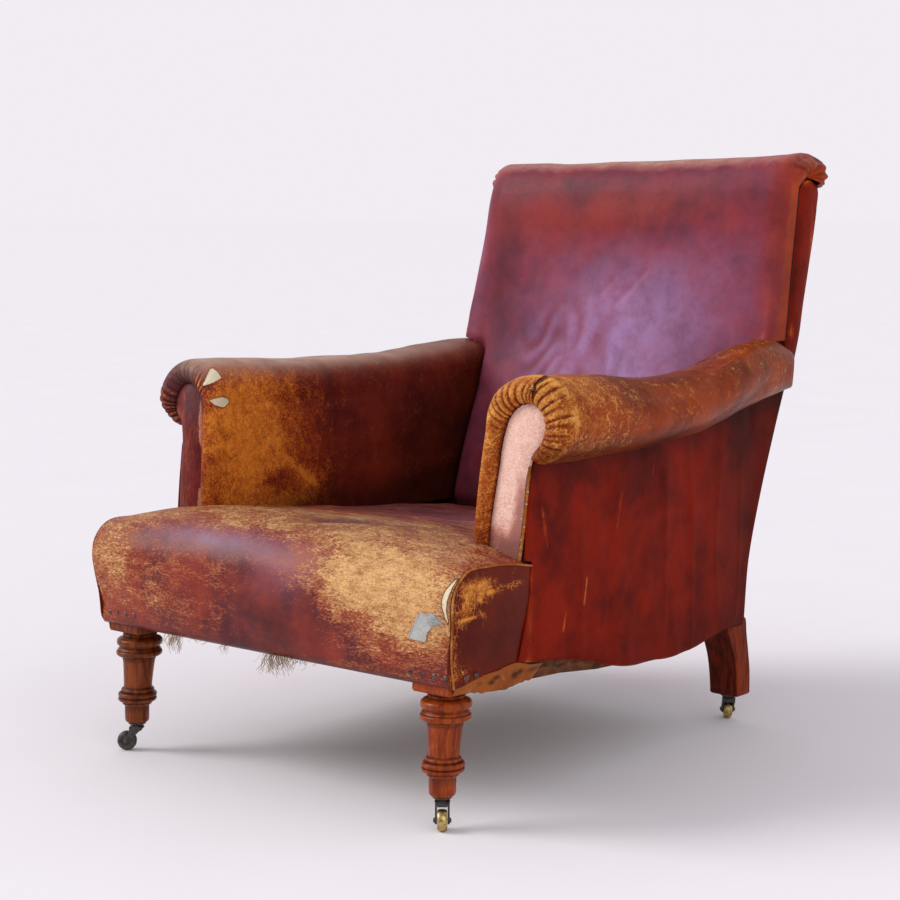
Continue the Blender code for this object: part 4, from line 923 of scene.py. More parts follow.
def arm_masks(side, grid, valleys, crests, band):
    x, y, z = grid[..., 0], grid[..., 1], grid[..., 2]
    rolled = step(x, 0.262, 0.285) * step(z, 0.44, 0.5)
    headed = step(x, 0.275, 0.3) * step(z, 0.44, 0.47)
    in_band = 1 - step(band, 0.8, 1.0)
    deep = step(y, 0.42, 0.7) * (1 - rolled)
    under = step(x, 0.32, 0.36) * (1 - step(z, 0.462, 0.492))
    # Painted shade: deep towards the back below the roll, in the gathers' valleys, under the roll, and low
    # near the seat; the valleys are also kept less worn.
    dirt_and_shade = 0.8 * deep * step(0.56 - z, 0, 0.14) + 0.85 * valleys + 0.55 * under
    dirt_and_shade = dirt_and_shade + 0.65 * (1 - step(z, 0.325, 0.375)) * (1 - rolled) * step(y, 0.18, 0.3)
    masks = {"dirt_and_shade": np.clip(dirt_and_shade, 0, 0.95)}
    if side < 0:
        wear = spots(
            grid, 0.22,
            ((0.25, 0.19, 0.43), (0.03, 0.12, 0.13), 0.52),
            ((0.25, 0.25, 0.372), (0.03, 0.034, 0.022), -0.26),
            ((0.262, 0.22, 0.52), (0.04, 0.12, 0.04), 0.12),
            ((0.257, 0.3, 0.345), (0.03, 0.09, 0.04), 0.2),
            ((0.3, 0.4, 0.56), (0.06, 0.3, 0.02), 0.14),
        )
        wear = wear + 0.26 * scratch(grid, (0.255, 0.414), (0.335, 0.357), 0.005)
        wear = wear + 0.36 * np.clip(crests / 0.32, 0, 1) ** 4
        wear = wear - 0.16 * in_band * headed - 0.4 * (1 - step(band, 0.16, 0.42)) * (1 - headed)
        # Painted sheen along the top of the roll, and a little on the head.
        masks["haze_and_sheen"] = spots(
            grid, 0.02,
            ((0.29, 0.36, 0.556), (0.04, 0.3, 0.022), 1.1),
            ((0.3, 0.14, 0.555), (0.05, 0.03, 0.012), 0.3),
        )
        masks["edge"] = np.maximum(in_band * headed, 1 - step(band, 0.2, 0.5))
    else:
        wear = spots(
            grid, 0.22,
            ((0.33, 0.2, 0.56), (0.08, 0.11, 0.03), 0.16),
            ((0.38, 0.2, 0.51), (0.04, 0.06, 0.06), 0.18),
            ((0.33, 0.62, 0.575), (0.07, 0.14, 0.03), 0.12),
            ((0.262, 0.125, 0.45), (0.02, 0.03, 0.12), 0.22),
        )
        # A ring of worn finish runs round the head, past the ends of its gathers. The paler gathered band is
        # partly painted sunlight.
        wear = wear + 0.22 * bell(band, 0.93, 0.13) * headed + 0.4 * crests + 0.14 * in_band
        # Painted sheen along the top of the roll.
        masks["haze_and_sheen"] = spots(grid, 0.02, ((0.33, 0.33, 0.555), (0.07, 0.16, 0.02), 0.12))
    masks["wear"] = wear - 0.22 * valleys
    return masks


def facing_wear(p, side):
    x, z = p[..., 0], p[..., 2]
    # The right facing is paler overall, as painted sunlight; its lower part and outer lower edge are darker,
    # as painted shade below the sunlit patch.
    wear = spots(p, 0.44 if side < 0 else 0.7)
    if side > 0:
        wear = wear - 0.36 * (1 - step(z, 0.345, 0.385))
        wear = wear - 0.34 * step(x, 0.304, 0.318) * (1 - step(z, 0.41, 0.46))
    return wear + scratches(
        p,
        (0.95, (-0.2805, 0.438), (-0.2868, 0.508), 0.0034),
        (0.6, (-0.2745, 0.342), (-0.2755, 0.37), 0.003),
        axes=(0, 2),
    )


arm_grids = {}
for name, side in SIDES:
    grid, valleys, crests, band = arm_grid(side)
    masks = arm_masks(side, grid, valleys, crests, band)
    arm_grids[side] = grid * (side, 1, 1)
    hide = skin(
        "arm_hide_" + name, arm_grids[side], INNER_ARM_HIDE if side < 0 else ARM_HIDE, masks,
        thickness=0.0022, flip=side < 0, stands_for=("arm_cover_" + name, "arm_stuffing_" + name),
    )

    outline = np.concatenate([
        path_through(FACING_PATH, 90)[:-1],
        path_through([(0.325, 0.447), (0.3232, 0.435), (0.3225, 0.39), (0.3192, 0.33)], 22),
        path_through([(0.314, 0.327), (0.2765, 0.327)], 8),
    ])
    facing = pillow(
        "facing_hide_" + name,
        facing_shape(side, outline),
        facing_shape(side, path_through(FACING_SPINE, 60)),
        lambda a, b, height: (side * a, facing_y(b) + 0.0015 - height, b),
        0.005,
        LEFT_FACING_HIDE if side < 0 else SUNLIT_RIGHT_FACING_HIDE,
        {
            "wear": lambda p: facing_wear(p, side),
            # Haze and painted sheen on the heads of the facings.
            "haze_and_sheen": lambda p: spots(
                p, 0.06,
                ((0.31, 0.13, 0.47), (0.04, 0.1, 0.07), 0.4),
                ((-0.305, 0.13, 0.5), (0.03, 0.1, 0.035), 0.45),
            ),
            # Both facings darken towards the bottom; on the right this is painted shade below the sunlit
            # patch.
            "dirt_and_shade": lambda p: 0.04 + (0.3 if side > 0 else 0.2) * (1 - step(p[..., 2], 0.345, 0.372)),
        },
    )
    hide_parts("arm_facing_" + name)


# ---------------------------------------------------------------- outside arms, gussets and welts
PANEL_LOWER = [
    (0.106, 0.199), (0.23, 0.182), (0.3, 0.164), (0.366, 0.1495), (0.436, 0.144), (0.5, 0.1405),
    (0.552, 0.144), (0.628, 0.1545), (0.697, 0.1545),
]
PANEL_UPPER = [
    (0.14, 0.458), (0.24, 0.461), (0.33, 0.462), (0.42, 0.465), (0.522, 0.475), (0.627, 0.487),
    (0.709, 0.5), (0.796, 0.512),
]
PANEL_ROWS, PANEL_COLUMNS = 78, 190
# Front edge of the panel: beside the facing, how far behind it, and below the facing, where.
BESIDE_FACING = ((0.33, 0.355, 0.38, 0.43, 0.458), (0.0045, 0.0036, 0.003, 0.003, 0.009))
BELOW_FACING = ((0.2, 0.277, 0.325), (0.102, 0.127, 0.131))


def panel_grid(seed):
    lower, upper = path_through(PANEL_LOWER, PANEL_COLUMNS), path_through(PANEL_UPPER, PANEL_COLUMNS)
    rise = np.linspace(0, 1, PANEL_ROWS)[:, None, None]
    yz = lower[None] + rise * (upper - lower)[None]
    y, z = yz[..., 0], yz[..., 1]
    front = np.where(z > 0.33, facing_y(z) + np.interp(z, *BESIDE_FACING), np.interp(z, *BELOW_FACING))
    rear = rear_y(z) + 0.0005
    share = np.linspace(0, 1, PANEL_COLUMNS)[None, :]
    near_front, near_rear = 1 - step(share, 0, 0.12), step(share, 0.86, 1.0)
    y = y + near_front * (front - y[:, :1]) + near_rear * (rear - y[:, -1:])
    x = side_x(y) + 0.0006
    # The edges turn in: round the rear corner, and under at the bottom.
    over_edge = z - lower[None, :, 1]
    x = x - 0.008 * step(y - rear, -0.01, 0.001) - 0.0035 * (1 - step(over_edge, 0, 0.006))
    grid = np.stack([x, y, z], axis=2)
    edge = step(share, 0, 0.05) * (1 - step(share, 0.95, 1.0))
    waves = 0.0014 * lumps(grid * (1, 1, 0.5), 10, seed) + 0.0006 * lumps(grid * (1, 1.3, 0.5), 30, seed + 1)
    height = edge * waves + edge * 0.0008 * creases(grid * (1, 1.0, 0.25), 14, seed + 2)
    # The bottom edge is drawn up here and there between its tacks.
    grid[..., 2] += (1 - step(over_edge, 0, 0.03)) * 0.0008 * lumps(grid, 38, seed + 3)
    grid[..., 0] += height
    return grid


def panel_masks(p):
    y, z = p[..., 1], p[..., 2]
    wear = 0.22 + scratches(
        p,
        (0.42, (0.252, 0.25), (0.26, 0.29), 0.003),
        (0.36, (0.204, 0.222), (0.212, 0.252), 0.003),
        (0.2, (0.15, 0.4), (0.17, 0.33), 0.005),
        (0.18, (0.33, 0.33), (0.345, 0.4), 0.0035),
        (0.16, (0.415, 0.35), (0.43, 0.45), 0.003),
        (0.18, (0.545, 0.325), (0.575, 0.335), 0.0035),
        (0.14, (0.3, 0.21), (0.312, 0.25), 0.003),
    )
    wear = wear + 0.2 * bell(y, 0.128, 0.012) * (1 - step(z, 0.3, 0.34))
    wear = wear + 0.3 * (1 - step(z - np.interp(y, *zip(*PANEL_LOWER)), 0.0, 0.005))
    # Darker towards the rear, and painted shade under the roll along the top.
    dirt_and_shade = spots(p, 0.05, ((0.33, 0.45, 0.17), (0.1, 0.3, 0.03), 0.28)) + 0.55 * step(y, 0.5, 0.74)
    dirt_and_shade = dirt_and_shade + 0.5 * step(z - np.interp(y, *zip(*PANEL_UPPER)), -0.05, -0.008)
    haze_and_sheen = spots(p, 0.0, ((0.33, 0.66, 0.3), (0.1, 0.08, 0.12), 0.08))
    return {"wear": wear, "haze_and_sheen": haze_and_sheen, "dirt_and_shade": np.clip(dirt_and_shade, 0, 0.9)}


def outside_arm(name, side):
    grid = panel_grid(51 + side)
    if side < 0:
        grid[..., 0] -= 0.003 * (1 - step(grid[..., 1], 0.15, 0.26)) * step(grid[..., 2], 0.2, 0.26)
    skin(
        "outside_arm_hide_" + name, grid * (side, 1, 1), SIDE_HIDE, panel_masks(grid),
        thickness=0.002, flip=side > 0, stands_for=("outside_arm_" + name,),
    )


TACK_HEAD = [(0.0, 0.001), (0.0007, 0.0008), (0.001, 0.0003), (0.001, -0.0004), (0.0, -0.0004)]
TACK_PLACES = [
    (0.3236, 0.337), (0.324, 0.3475), (0.3225, 0.356), (0.3262, 0.373), (0.3205, 0.383), (0.3272, 0.402),
    (0.328, 0.418),
]
EDGE_POINTS = 44


def facing_border(name, side):
    """Between facing and panel: a dark strip of painted shade in the gap, a narrow turned edge and the heads
    of a few tacks.
    """
    heights = np.linspace(0.318, 0.449, EDGE_POINTS)
    tucked = 0.0085 if side < 0 else 0.0
    shape = Shape()
    rows = []
    for z in heights[2:]:
        shares = [k / 3 for k in range(4)]
        rows.append([
            (side * (0.315 + (0.0124 - tucked) * share), facing_y(z) + 0.0045 + 0.006 * share, z)
            for share in shares
        ])
    shape.grid(np.array(rows), flip=side < 0)
    new_piece("facing_gap_shadow_" + name, shape, SHADOW, outwards=False, sharp=0)

    shape = Shape()
    beside = np.interp(heights, (0.33, 0.37, 0.44), (0.3208, 0.3244, 0.3262)) - tucked
    turned = np.stack([side * beside, facing_y(heights) + 0.0035 + 0.5 * tucked, heights], axis=1)
    shape.tube(turned, [0.0022 + 0.0006 * sin(3.7 * k) * sin(0.9 * k) for k in range(EDGE_POINTS)], sides=8)
    points = np.array(shape.points)
    shape.masks = {"wear": 0.42 + 0.25 * lumps(points, 70, 9), "dirt_and_shade": 0.5 * step(points[:, 2], 0.4, 0.44)}
    new_piece("facing_edge_" + name, shape, TAN_HIDE)

    shape = Shape()
    turn = facing_along((side * 0.4, -1.0, 0))
    for a, z in TACK_PLACES:
        shape.lathe(TACK_HEAD, 10, (side * (a - tucked), facing_y(z) + 0.0012 + 0.5 * tucked, z), turn)
    new_piece("facing_tacks_" + name, shape, TACK, sharp=0)


GUSSET_TOP = [(-0.0275, 0.262), (-0.0225, 0.308), (-0.004, 0.3275), (0.045, 0.332), (0.129, 0.3225)]
WELT_POINTS = 130


def gusset_wear(p, side):
    wear = spots(
        p, 0.18,
        ((side * 0.33, 0.024, 0.31), (0.1, 0.034, 0.013), 0.44),
        ((side * 0.33, 0.0, 0.285), (0.1, 0.014, 0.02), 0.34),
        ((side * 0.33, 0.02, 0.29), (0.1, 0.03, 0.02), 0.12),
        ((side * 0.33, -0.022, 0.235), (0.1, 0.008, 0.05), 0.22),
        ((side * 0.33, -0.01, 0.2), (0.1, 0.03, 0.012), 0.16),
    )
    return wear + scratches(
        p,
        (0.34, (0.034, 0.2985), (0.115, 0.304), 0.0035),
        (0.3, (-0.018, 0.27), (0.04, 0.274), 0.0028),
        (0.3, (0.03, 0.3), (0.018, 0.276), 0.0025),
    )


def gusset(name, side):
    """The leather at the side of the seat's front corner, and the welt along its edge."""
    outline = ring_through([
        (0.103, 0.2), (0.075, 0.1965), (0.03, 0.1935), (-0.0265, 0.19), *path_through(GUSSET_TOP, 26),
        (0.131, 0.3), (0.127, 0.272), (0.112, 0.23),
    ], 109)
    hide = pillow(
        "gusset_hide_" + name,
        outline,
        [(0.045, 0.262)],
        lambda a, b, height: corner_bulge(np.array((side * (WING_X + 0.0008 + height), a, b))),
        0.003,
        GUSSET_HIDE,
        {
            "wear": lambda p: gusset_wear(p, side),
            "haze_and_sheen": lambda p: spots(p, 0.02),
            "dirt_and_shade": lambda p: spots(p, 0.05, ((side * 0.33, 0.07, 0.24), (0.1, 0.04, 0.05), 0.35)),
        },
        rings=14,
        depth=0.0015,
    )
    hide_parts("seat_gusset_" + name)

    path = path_through(
        [(-0.0245, 0.187), (-0.029, 0.215), *GUSSET_TOP[:-1], (0.09, 0.3285), (0.13, 0.3215)], WELT_POINTS
    )
    shape = Shape()
    line = corner_bulge(np.array([(side * (WING_X + 0.0021), y + 0.0012, z + 0.0002) for y, z in path]))
    shape.tube(line, [0.0014 + 0.0002 * sin(1.9 * k) * sin(0.31 * k) for k in range(WELT_POINTS)], sides=10)
    points = np.array(shape.points)
    shape.masks = {
        "wear": 0.42 + 0.2 * lumps(points, 60, 4),
        "dirt_and_shade": 0.3 * np.clip(lumps(points, 30, 6), 0, 1),
    }
    new_piece("seat_welt_" + name, shape, TAN_HIDE)


TORN_UPPER = ((-0.019, 0.06, 0.103, 0.13, 0.158), (0.1935, 0.1965, 0.2, 0.193, 0.1895))
TORN_LOWER = (
    (-0.019, 0.009, 0.045, 0.07, 0.095, 0.118, 0.142, 0.158),
    (0.1785, 0.176, 0.1715, 0.1695, 0.1708, 0.1725, 0.1765, 0.188),
)


def torn_edge(name, side):
    """The torn lower edge of the gusset's cover, hanging over the rail, with its tack holes painted in as
    dark shade.
    """
    ys = np.linspace(-0.019, 0.158, 90)
    upper, lower = table(ys, *TORN_UPPER), table(ys, *TORN_LOWER)
    stands_off = 0.0028 * step(ys, 0.026, 0.044) * (1 - step(ys, 0.12, 0.156))
    rows = []
    for share in np.linspace(0, 1, 12):
        place = np.stack([ys, ys * 0 + share * 0.02, ys * 0], axis=1)
        x = WING_X - 0.0002 + stands_off + 0.0008 * lumps(place, 70, 82) - 0.0022 * (1 - share) ** 3
        fray = 0.0016 * lumps(place * (1, 0, 1), 150, 83)
        rows.append(np.stack([x, ys, lower + share * (upper - lower) + (1 - share) ** 2 * fray], axis=1))
    grid = np.array(rows)
    # The tack holes are dark spots of painted shade.
    hole_shade = spots(
        grid, 0.08,
        ((0.32, 0.05, 0.184), (0.1, 0.0065, 0.003), 1.3),
        ((0.32, 0.06, 0.1885), (0.1, 0.006, 0.0022), 1.3),
        ((0.32, 0.096, 0.185), (0.1, 0.006, 0.0042), 1.4),
        ((0.32, 0.108, 0.188), (0.1, 0.006, 0.003), 1.2),
        ((0.32, 0.03, 0.185), (0.1, 0.004, 0.002), 0.6),
        ((0.32, 0.138, 0.186), (0.1, 0.014, 0.0026), 0.9),
    )
    skin(
        "torn_edge_" + name, corner_bulge(grid * (side, 1, 1)), TAN_HIDE,
        {"wear": 0.3 + 0.3 * lumps(grid, 60, 84), "dirt_and_shade": np.clip(hole_shade, 0, 1)},
        thickness=0.0012, flip=side < 0,
    )


for name, side in SIDES:
    outside_arm(name, side)
    facing_border(name, side)
    gusset(name, side)
    torn_edge(name, side)


# ---------------------------------------------------------------- back
BACK_X, CORNER = 0.2985, 0.011
FACE_ROWS, SCROLL_ROWS, CORNER_COLUMNS, WRAP_COLUMNS = 96, 48, 5, 26
FACE_LOW, FACE_TOP = 0.285, 0.812
SCROLL = [
    (0.786, 0.812), (0.7885, 0.825), (0.799, 0.85), (0.824, 0.8625), (0.872, 0.8632), (0.902, 0.852),
    (0.914, 0.833), (0.907, 0.815), (0.89, 0.809),
]
SCROLL_MIDDLE = (0.852, 0.828)
SEAM = ((0.56, 0.609, 0.685, 0.761, 0.814), (0.79, 0.798, 0.807, 0.819, 0.826))
NARROW_X = 0.2625  # half the width of the back between the arms
FACE_HEIGHTS = (0.285, 0.38, 0.445, 0.502, 0.56, 0.62, 0.7, 0.76, 0.812)
FACE_MIDDLE = (0.624, 0.655, 0.68, 0.7, 0.717, 0.73, 0.745, 0.756, 0.769)
FACE_EDGE = (0.646, 0.676, 0.702, 0.723, 0.74, 0.757, 0.768, 0.776, 0.786)


def back_front_y(x, z):
    middle, edge = table(z, FACE_HEIGHTS, FACE_MIDDLE), table(z, FACE_HEIGHTS, FACE_EDGE)
    half = 0.262 + 0.036 * step(z, 0.55, 0.62)
    crown = 1 - np.minimum(1, np.abs(x) / half) ** 2.4
    return edge + crown * (middle - edge)


def arm_top_line(x):
    """Height at which the wide part of the back starts, over the arm's roll."""
    places = (0.25, 0.262, 0.275, 0.29, 0.305)
    right = np.interp(x, places, (0.285, 0.545, 0.567, 0.577, 0.579))
    return np.maximum(right, np.interp(-x, places, (0.285, 0.533, 0.554, 0.563, 0.565)))


def back_middle():
    """The face and the roll over its top, between the corners."""
    flat = BACK_X - CORNER
    wide = np.linspace(NARROW_X, flat, 9)
    xs = np.concatenate([-wide[::-1], np.linspace(-NARROW_X, NARROW_X, 110)[1:-1], wide])
    zs = np.linspace(FACE_LOW, FACE_TOP, FACE_ROWS)[:, None]
    scroll = path_through(SCROLL, SCROLL_ROWS + 1)[1:]
    face = np.stack(np.broadcast_arrays(xs[None], back_front_y(xs[None], zs), zs), axis=2)
    drift = face[-1, :, 1] - scroll[0, 0]
    fade = 1 - step(np.arange(SCROLL_ROWS), 0, SCROLL_ROWS * 0.5)
    roll_y = scroll[:, :1] + fade[:, None] * (drift - drift[0])[None]
    roll = np.stack(np.broadcast_arrays(xs[None], roll_y, scroll[:, 1:]), axis=2)
    middle = np.concatenate([face, roll])
    # The face runs into the roll without a crease.
    near_join = bell(np.arange(len(middle)), FACE_ROWS, 9.0)[1:-1, None]
    for _ in range(60):
        settled = (middle[:-2, :, 1] + 2 * middle[1:-1, :, 1] + middle[2:, :, 1]) / 4
        middle[1:-1, :, 1] += near_join * (settled - middle[1:-1, :, 1])
    return middle


def back_grid():
    """The back's leather, and which of its rows are on the roll."""
    middle = back_middle()
    # The leather turns the corner and runs back to the seam, or in to the middle of the scroll.
    edge = middle[:, -1, 1:]
    zs = edge[:FACE_ROWS, 1]
    target = np.stack([np.interp(zs, *SEAM), zs], axis=1)
    join = step(np.arange(SCROLL_ROWS), 0, SCROLL_ROWS * 0.12)[:, None]
    target = np.concatenate([target, target[-1] + join * (np.array(SCROLL_MIDDLE) - target[-1])])
    inward = target - edge
    reach = np.linalg.norm(inward, axis=1, keepdims=True)
    inward = inward / reach
    is_roll = np.concatenate([np.zeros(FACE_ROWS), join[:, 0]])
    wrap = []
    for turn in np.radians(np.linspace(0, 90, CORNER_COLUMNS + 1)[1:]):
        x = np.full(len(edge), BACK_X - CORNER + CORNER * sin(turn))
        wrap.append(np.column_stack([x, edge + inward * CORNER * (1 - cos(turn))]))
    for share in np.linspace(0, 1, WRAP_COLUMNS - CORNER_COLUMNS + 1)[1:]:
        x = BACK_X + is_roll * (0.0105 * sin(pi * share**0.7) - 0.002 * share**3) + 0.0004
        wrap.append(np.column_stack([x, edge + inward * (CORNER + (reach - CORNER) * share)]))
    right = np.stack(wrap, axis=1)
    left = (right * (-1, 1, 1))[:, ::-1]
    return np.concatenate([left, middle, right], axis=1), is_roll


LEFT_EDGE_DRAWN = ((0.6, 0.65, 0.7, 0.75, 0.8, 0.85), (0.0, 0.003, 0.006, 0.0085, 0.0095, 0.013))
TOP_LOWERED = ((-BACK_X, 0.0, 0.2, 0.27, BACK_X), (0.0125, 0.0105, 0.009, 0.006, 0.0015))


def sagged(points):
    """The back as it has settled: its top lower towards the left, its left edge drawn in and rounded."""
    x, y, z = points[..., 0], points[..., 1], points[..., 2]
    moved = np.array(points, float)
    moved[..., 2] -= np.interp(x, *TOP_LOWERED) * step(z, 0.765, 0.862)
    moved[..., 0] += table(z, *LEFT_EDGE_DRAWN) * step(-x, 0.15, BACK_X)
    flat = BACK_X - CORNER
    depth = y - back_front_y(np.clip(x, -flat, flat), np.minimum(z, FACE_TOP))
    for side, full_radius in ((-1, 0.044), (1, 0.03)):
        radius = CORNER + (full_radius - CORNER) * step(z, 0.6, 0.76)
        turn = np.clip((side * x - (BACK_X - radius)) / radius, 0, 0.93)
        back_off = radius * (1 - np.sqrt(1 - turn**2)) * 0.6
        moved[..., 1] += back_off * (1 - np.clip(depth / 0.042, 0, 1)) * step(z, 0.59, 0.64)
    return moved


def over_wraps(outer, inner, between=0.0):
    """A number for each column: outer to inner over the wraps at both sides, and this one between."""
    values = np.full(back.shape[1], float(between))
    values[:WRAP_COLUMNS] = np.linspace(outer, inner, WRAP_COLUMNS)
    values[-WRAP_COLUMNS:] = np.linspace(inner, outer, WRAP_COLUMNS)
    return values


back, is_roll = back_grid()
back = sagged(back)
x, z = back[..., 0], back[..., 2]
line = arm_top_line(x)
back_keep = (z[1:, 1:] >= line[1:, 1:]) & (z[1:, :-1] >= line[1:, :-1])
back[..., 2] = np.maximum(z, line)
z = back[..., 2]
front = over_wraps(0, 0, between=1)
calm = step(BACK_X - np.abs(x), 0.0, 0.02) * front
# Small folds run out from a point low on the face, and two dents lie beside it.
fold_centre = np.array([-0.058, 0.7, 0.546])
away = np.linalg.norm((back - fold_centre) * (0.8, 0.3, 1.0), axis=2)
angle = np.arctan2(z - fold_centre[2], x - fold_centre[0])
folds = np.sin(5 * angle + 9 * lumps(back, 14, 61)) * bell(away, 0.05, 0.036)
dents = scratches(
    back,
    (1.0, (0.018, 0.622), (0.077, 0.683), 0.004),
    (0.6, (-0.01, 0.64), (0.02, 0.672), 0.004),
    axes=(0, 2),
)
waves = 0.0024 * lumps(back, 8, 62) + 0.001 * lumps(back, 21, 63)
height = calm * (waves + 0.0007 * folds - 0.002 * dents)
height = height - calm * 0.0016 * creases(back * (1.4, 1, 0.8), 13, 64) * bell(z, 0.46, 0.1)
height = height - calm * 0.0012 * creases(back, 24, 65) * step(0.42 - z, 0, 0.08)
# The ends of the roll are gathered into the middle of the scroll.
rows = np.arange(len(back))
gather = np.sin(rows * 0.85 + 2.0 * np.sin(rows * 0.23)) * is_roll
gather = gather[:, None] * np.sin(pi * over_wraps(1, 0) ** 0.7)[None, :]
height = height + 0.0022 * gather
back = raised(back, height)
tuck = step(np.abs(x), 0.238, NARROW_X) * (1 - step(z, 0.535, 0.57))
back[..., 1] += 0.022 * tuck
back[..., 1] += 0.016 * (1 - step(z, FACE_LOW, 0.312))
on_side = np.clip(over_wraps(1.6, 0.5), 0, 1)[None, :]
on_side = on_side + (0.5 * step(x, 0.262, 0.29) + 0.15 * step(-x, 0.25, 0.29)) * front
on_side = np.clip(on_side, 0, 1)
back_wear = spots(
    back, 0.16,
    ((0.3, 0.86, 0.836), (0.03, 0.07, 0.034), 0.02),
    ((-0.3, 0.86, 0.83), (0.04, 0.07, 0.03), 0.3),
    ((0.0, 0.83, 0.852), (0.4, 0.06, 0.022), 0.52),
    ((0.1, 0.77, 0.76), (0.2, 0.1, 0.03), 0.04),
    ((-0.285, 0.77, 0.7), (0.014, 0.1, 0.15), 0.16),
    ((0.285, 0.77, 0.8), (0.03, 0.03, 0.02), 0.16),
) + scratches(
    back,
    (0.16, (0.06, 0.6), (0.11, 0.65), 0.0022),
    (0.16, (0.15, 0.61), (0.19, 0.66), 0.002),
    (0.14, (0.18, 0.56), (0.25, 0.6), 0.0022),
    (0.14, (0.225, 0.68), (0.268, 0.73), 0.002),
    (0.14, (0.1, 0.56), (0.145, 0.575), 0.002),
    axes=(0, 2),
)
# Haze on the back: a painted sheen low in the middle of the face, and dusty bloom elsewhere.
back_haze_and_sheen = spots(
    back, 0.08,
    ((0.02, 0.72, 0.5), (0.14, 0.2, 0.09), 0.8),
    ((0.04, 0.75, 0.62), (0.13, 0.2, 0.075), 0.55),
    ((0.18, 0.75, 0.64), (0.1, 0.2, 0.1), 0.2),
    ((0.0, 0.76, 0.77), (0.26, 0.2, 0.04), -0.12),
    ((-0.29, 0.77, 0.7), (0.02, 0.2, 0.15), 0.28),
)
# Painted highlight: more sheen on the crests of the small folds, less in their hollows.
back_haze_and_sheen = back_haze_and_sheen * (1 - on_side) * (1 - 0.45 * np.clip(-folds, 0, 1))
back_haze_and_sheen = back_haze_and_sheen + 0.14 * np.clip(folds, 0, 1) * calm
# Dark marks on the back: a streak and two bands near the top; along the bottom, where the back meets the
# seat, it is painted shade.
back_dirt_and_shade = spots(
    back, 0.0,
    ((-0.22, 0.75, 0.69), (0.035, 0.1, 0.12), 0.42),
    ((-0.12, 0.8, 0.815), (0.14, 0.05, 0.02), 0.34),
    ((0.12, 0.78, 0.8), (0.12, 0.05, 0.016), 0.22),
    ((0.0, 0.62, 0.3), (0.4, 0.06, 0.04), 0.7),
)
# Painted shade where the back tucks in beside the arms and in the roll's gathers.
back_dirt_and_shade = back_dirt_and_shade + 0.6 * tuck + 0.7 * np.clip(-gather, 0, 1)
back_masks = {
    "wear": back_wear,
    "haze_and_sheen": np.clip(back_haze_and_sheen, 0, 0.9),
    "dirt_and_shade": np.clip(back_dirt_and_shade, 0, 0.9),
    "edge": on_side,
}
back_hide = skin(
    "back_hide", back, BACK_HIDE, back_masks, keep=back_keep,
    stands_for=("back_cover", "back_stuffing"),
)


# Side of the back, behind the seam, with a dark tube of painted shade along the seam.
STRIP = [
    (0.788, 0.556), (0.799, 0.609), (0.808, 0.685), (0.82, 0.761), (0.8265, 0.802), (0.8345, 0.817),
    (0.846, 0.8215), (0.866, 0.819), (0.88, 0.809), (0.8785, 0.78), (0.872, 0.745), (0.857, 0.685),
    (0.843, 0.63), (0.833, 0.585), (0.823, 0.556), (0.814, 0.532), (0.805, 0.508), (0.796, 0.509),
    (0.792, 0.53),
]
STRIP_SPINE = [(0.808, 0.575), (0.828, 0.68), (0.842, 0.76), (0.848, 0.8)]


def beside_back(side, a, b):
    """A place on the side of the back, which starts lower on the left, where the arm is lower."""
    down = 0.014 * float(1 - step(b, 0.556, 0.64)) if side < 0 else 0.0
    tucked = 0.004 * float(1 - step(b, 0.51, 0.556))
    return sagged(np.array((side * (BACK_X + 0.0008 - tucked), a - 0.2 * down, b - down)))


for name, side in SIDES:
    strip = pillow(
        "back_side_hide_" + name,
        ring_through(STRIP, 149),
        path_through(STRIP_SPINE, 60),
        lambda a, b, height: beside_back(side, a, b) + (side * height, 0, 0),
        0.0028,
        SIDE_HIDE,
        {
            "wear": lambda p: spots(
                p, 0.26,
                ((side * 0.3, 0.862, 0.7), (0.1, 0.008, 0.15), 0.26),
                ((side * 0.3, 0.845, 0.82), (0.1, 0.016, 0.01), 0.24),
                ((side * 0.3, 0.806, 0.59), (0.1, 0.012, 0.012), 0.22),
            ),
            "dirt_and_shade": lambda p: spots(p, 0.05, ((side * 0.3, 0.81, 0.7), (0.1, 0.006, 0.1), 0.25)),
        },
        rings=10,
        depth=0.001,
    )
    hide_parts("back_side_" + name)
    seam = [
        beside_back(side, float(np.interp(z, *SEAM)) + 0.0012, z) - (side * 0.0004, 0, 0)
        for z in np.linspace(0.558, FACE_TOP, 60)
    ]
    shape = Shape()
    shape.tube(seam, 0.0013, sides=8)
    new_piece("back_seam_shadow_" + name, shape, SHADOW)

# The plain leather down the chair's back, turned in at its edges.
LEG_HALF_X = 0.2898
zs = np.linspace(0.1585, 0.808, 130)
xs = np.linspace(-1, 1, 120)
starts = 0.56 - 0.014 * (xs > 0)
half = LEG_HALF_X + (BACK_X - LEG_HALF_X) * step(zs[:, None] - starts[None, :], 0.0, 0.055)
outside = np.zeros((len(zs), len(xs), 3))
outside[..., 0] = -xs[None, :] * half
outside[..., 1] = rear_y(zs)[:, None] - 0.003 * step(np.abs(xs), 0.965, 1.0)[None, :] ** 2
outside[..., 2] = zs[:, None]
outside = sagged(outside)
between_edges = (1 - step(np.abs(xs), 0.93, 1.0))[None, :]
between_edges = between_edges * (step(zs, 0.16, 0.185) * (1 - step(zs, 0.785, 0.806)))[:, None]
waves = 0.0016 * lumps(outside, 7, 71) + 0.0008 * lumps(outside, 22, 72) - 0.0008 * creases(outside, 12, 73)
outside = raised(outside, between_edges * waves)
